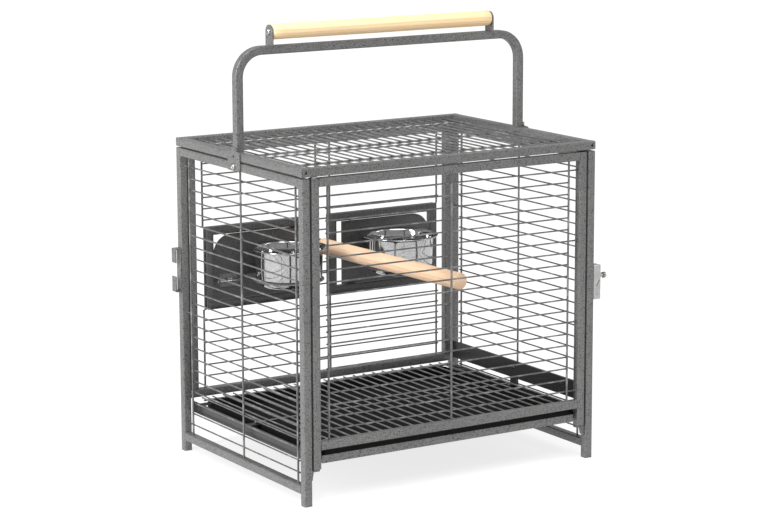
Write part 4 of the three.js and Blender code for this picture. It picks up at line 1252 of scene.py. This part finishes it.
def latch_case():
    low, high = node_box("latch_housing")
    piece = Piece("latch_case")
    centre_x, centre_z = (low.x + high.x) / 2, (low.z + high.z) / 2
    half_x, half_z = (high.x - low.x) / 2, (high.z - low.z) / 2
    wall = HOUSING_WALL
    rings = []
    for y, inset, fillet in (
        (low.y + wall, wall, 0.7), (high.y, wall, 0.7), (high.y, 0.0, 1.8), (low.y + 0.6, 0.0, 1.8),
        (low.y, 0.6, 1.5), (low.y, 1.4, 1.0),
    ):
        outline = rounded_rectangle(half_x - inset, half_z - inset, fillet)
        rings.append(facing(outline, y, centre_x, centre_z))
    piece.loft(rings)
    obj = piece.finish("cage_frame", zinc, "zinc", ("latch_housing",))
    notch = block_cutter((low.x + 3, low.y - 1, 240), (high.x + 1, low.y + 0.9, 246))
    slit = Piece("cutter")
    spot = Matrix.Translation((centre_x + 0.8, low.y - 1, 256.5))
    tilt = spot @ Matrix.Rotation(math.radians(30), 4, "Y")
    outline = rounded_rectangle(1.1, 5.0, 1.0, 3)
    slit.loft([[tilt @ Vector((a, y, b)) for a, b in outline] for y in (0, 1.9)])
    outer_hole = pin_hole(high.x - 3, high.x + 2, 3.0)
    inner_hole = pin_hole(low.x - 2, low.x + 3, 3.0)
    carve(obj, [notch, slit, outer_hole, inner_hole])


def latch_plunger():
    low, high = node_box("latch_pin")
    piece = Piece("latch_plunger")
    length = high.x - low.x
    profile = [(1.4, 0), (2.2, 0.9), (2.5, 2.0)]
    knob = [(2.5, 5.0), (3.4, 4.8), (4.4, 4.4), (4.4, 3.9), (3.7, 3.4)]
    knob += [(3.7, 2.6), (4.4, 2.0), (4.3, 0.7), (3.2, 0)]
    profile += [(r, length - back) for r, back in knob]
    piece.lathe(profile, (low.x, -MID_Y, LATCH_Z), (1, 0, 0), 32)
    collar = [(2.4, 0), (3.9, 0.1), (3.9, 0.9), (2.4, 1.0)]
    piece.lathe(collar, (HALF_W + 8, -MID_Y, LATCH_Z), (1, 0, 0), 24)
    piece.finish("door_latch", zinc, "zinc", ("latch_pin",))


def latch_coil():
    """The spring, pressed flat to a few turns of thin wire."""
    low, high = node_box("latch_spring")
    piece = Piece("latch_coil")
    steps, wire = 24, SPRING_WIRE
    pitch = (high.x - low.x - 2 * wire) / SPRING_TURNS
    rings = []
    for i in range(SPRING_TURNS * steps + 1):
        t = 2 * math.pi * i / steps
        out = Vector((0, math.cos(t), math.sin(t)))
        mid = Vector((low.x + wire + pitch * i / steps, -MID_Y, LATCH_Z)) + out * SPRING_RADIUS
        rings.append(circle(mid, wire, out, Vector((1, 0, 0)), 8))
    piece.loft(rings)
    piece.finish("cage_frame", zinc, "zinc", ("latch_spring",))


pivot_tab("door_pivot_tab", "door_pivot_bracket", -1)
pivot_tab("door_rest_tab", "door_rest_bracket", 1)
upper_pin()
belt_guide()
latch_case()
latch_plunger()
latch_coil()


# ---- stage ----

VIEW_YAW = 32.06
VIEW_PITCH = 10.81
VIEW_ROLL = 0.18
CAMERA_AT = place(-1896.3, -3038.1, 970.6)
FOCAL_LENGTH = 117.66


def towards(azimuth, elevation):
    """Direction of something seen from the cage; azimuth 0 is in front and 90 on the right."""
    a, e = math.radians(azimuth), math.radians(elevation)
    return Vector((math.sin(a) * math.cos(e), -math.cos(a) * math.cos(e), math.sin(e)))


def look_along(direction):
    """Turn that points a camera or a light in a direction."""
    return direction.to_track_quat("-Z", "Y")


def add_camera():
    data = bpy.data.cameras.new("camera")
    data.lens = FOCAL_LENGTH
    data.sensor_width = 36.0
    data.clip_end = 60.0
    camera = add_object("camera", data)
    turn = look_along(-towards(-VIEW_YAW, VIEW_PITCH)).to_matrix().to_4x4()
    roll = Matrix.Rotation(math.radians(-VIEW_ROLL), 4, "Z")
    camera.matrix_world = Matrix.Translation(CAMERA_AT) @ turn @ roll
    bpy.context.scene.camera = camera


def add_floor():
    mesh = bpy.data.meshes.new("studio_floor")
    bm = bmesh.new()
    bmesh.ops.create_grid(bm, x_segments=8, y_segments=8, size=14.0)
    bm.to_mesh(mesh)
    bm.free()
    g = Graph("studio_floor")
    paper = g.noise(0.6, 2.0)
    g.colour(g.ramp(paper, ((0.3, grey(0.22)), (0.7, grey(0.24)))))
    g.link(g.ramp(paper, ((0.3, grey(0.98)), (0.7, grey(1.0)))), g.shader.inputs["Emission Color"])
    g.put(Roughness=0.9, Specular_IOR_Level=0.1, Emission_Strength=0.8)
    mesh.materials.append(g.material)
    floor = add_object("studio_floor", mesh)


def add_light(name, azimuth, elevation, distance, size, power):
    """Soft box that looks at the cage's middle."""
    data = bpy.data.lights.new(name, "AREA")
    data.shape = "RECTANGLE"
    data.size = size[0]
    data.size_y = size[1]
    data.energy = power
    light = add_object(name, data)
    target = Vector((0, 0, (cad_low[2] + cad_high[2]) / 2))
    spot = target + distance * towards(azimuth, elevation)
    light.location = spot
    light.rotation_euler = look_along(target - spot).to_euler()


def add_sun(azimuth, elevation, spread, strength):
    """Wide soft sun, which lights the whole floor evenly."""
    data = bpy.data.lights.new("sun", "SUN")
    data.angle = math.radians(spread)
    data.energy = strength
    add_object("sun", data).rotation_euler = look_along(-towards(azimuth, elevation)).to_euler()


def add_sky():
    world = bpy.data.worlds.new("studio")
    world.use_nodes = True
    background = world.node_tree.nodes["Background"]
    background.inputs["Color"].default_value = (1, 1, 1, 1)
    background.inputs["Strength"].default_value = 0.5
    bpy.context.scene.world = world


add_camera()
add_floor()
add_sun(-20, 62, 40, 2.1)
add_light("left_strip", -82, 26, 2.6, (0.5, 1.8), 78)
add_light("right_strip", 60, 34, 2.6, (0.5, 1.8), 10)
add_sky()
bpy.context.scene.view_settings.view_transform = "Standard"
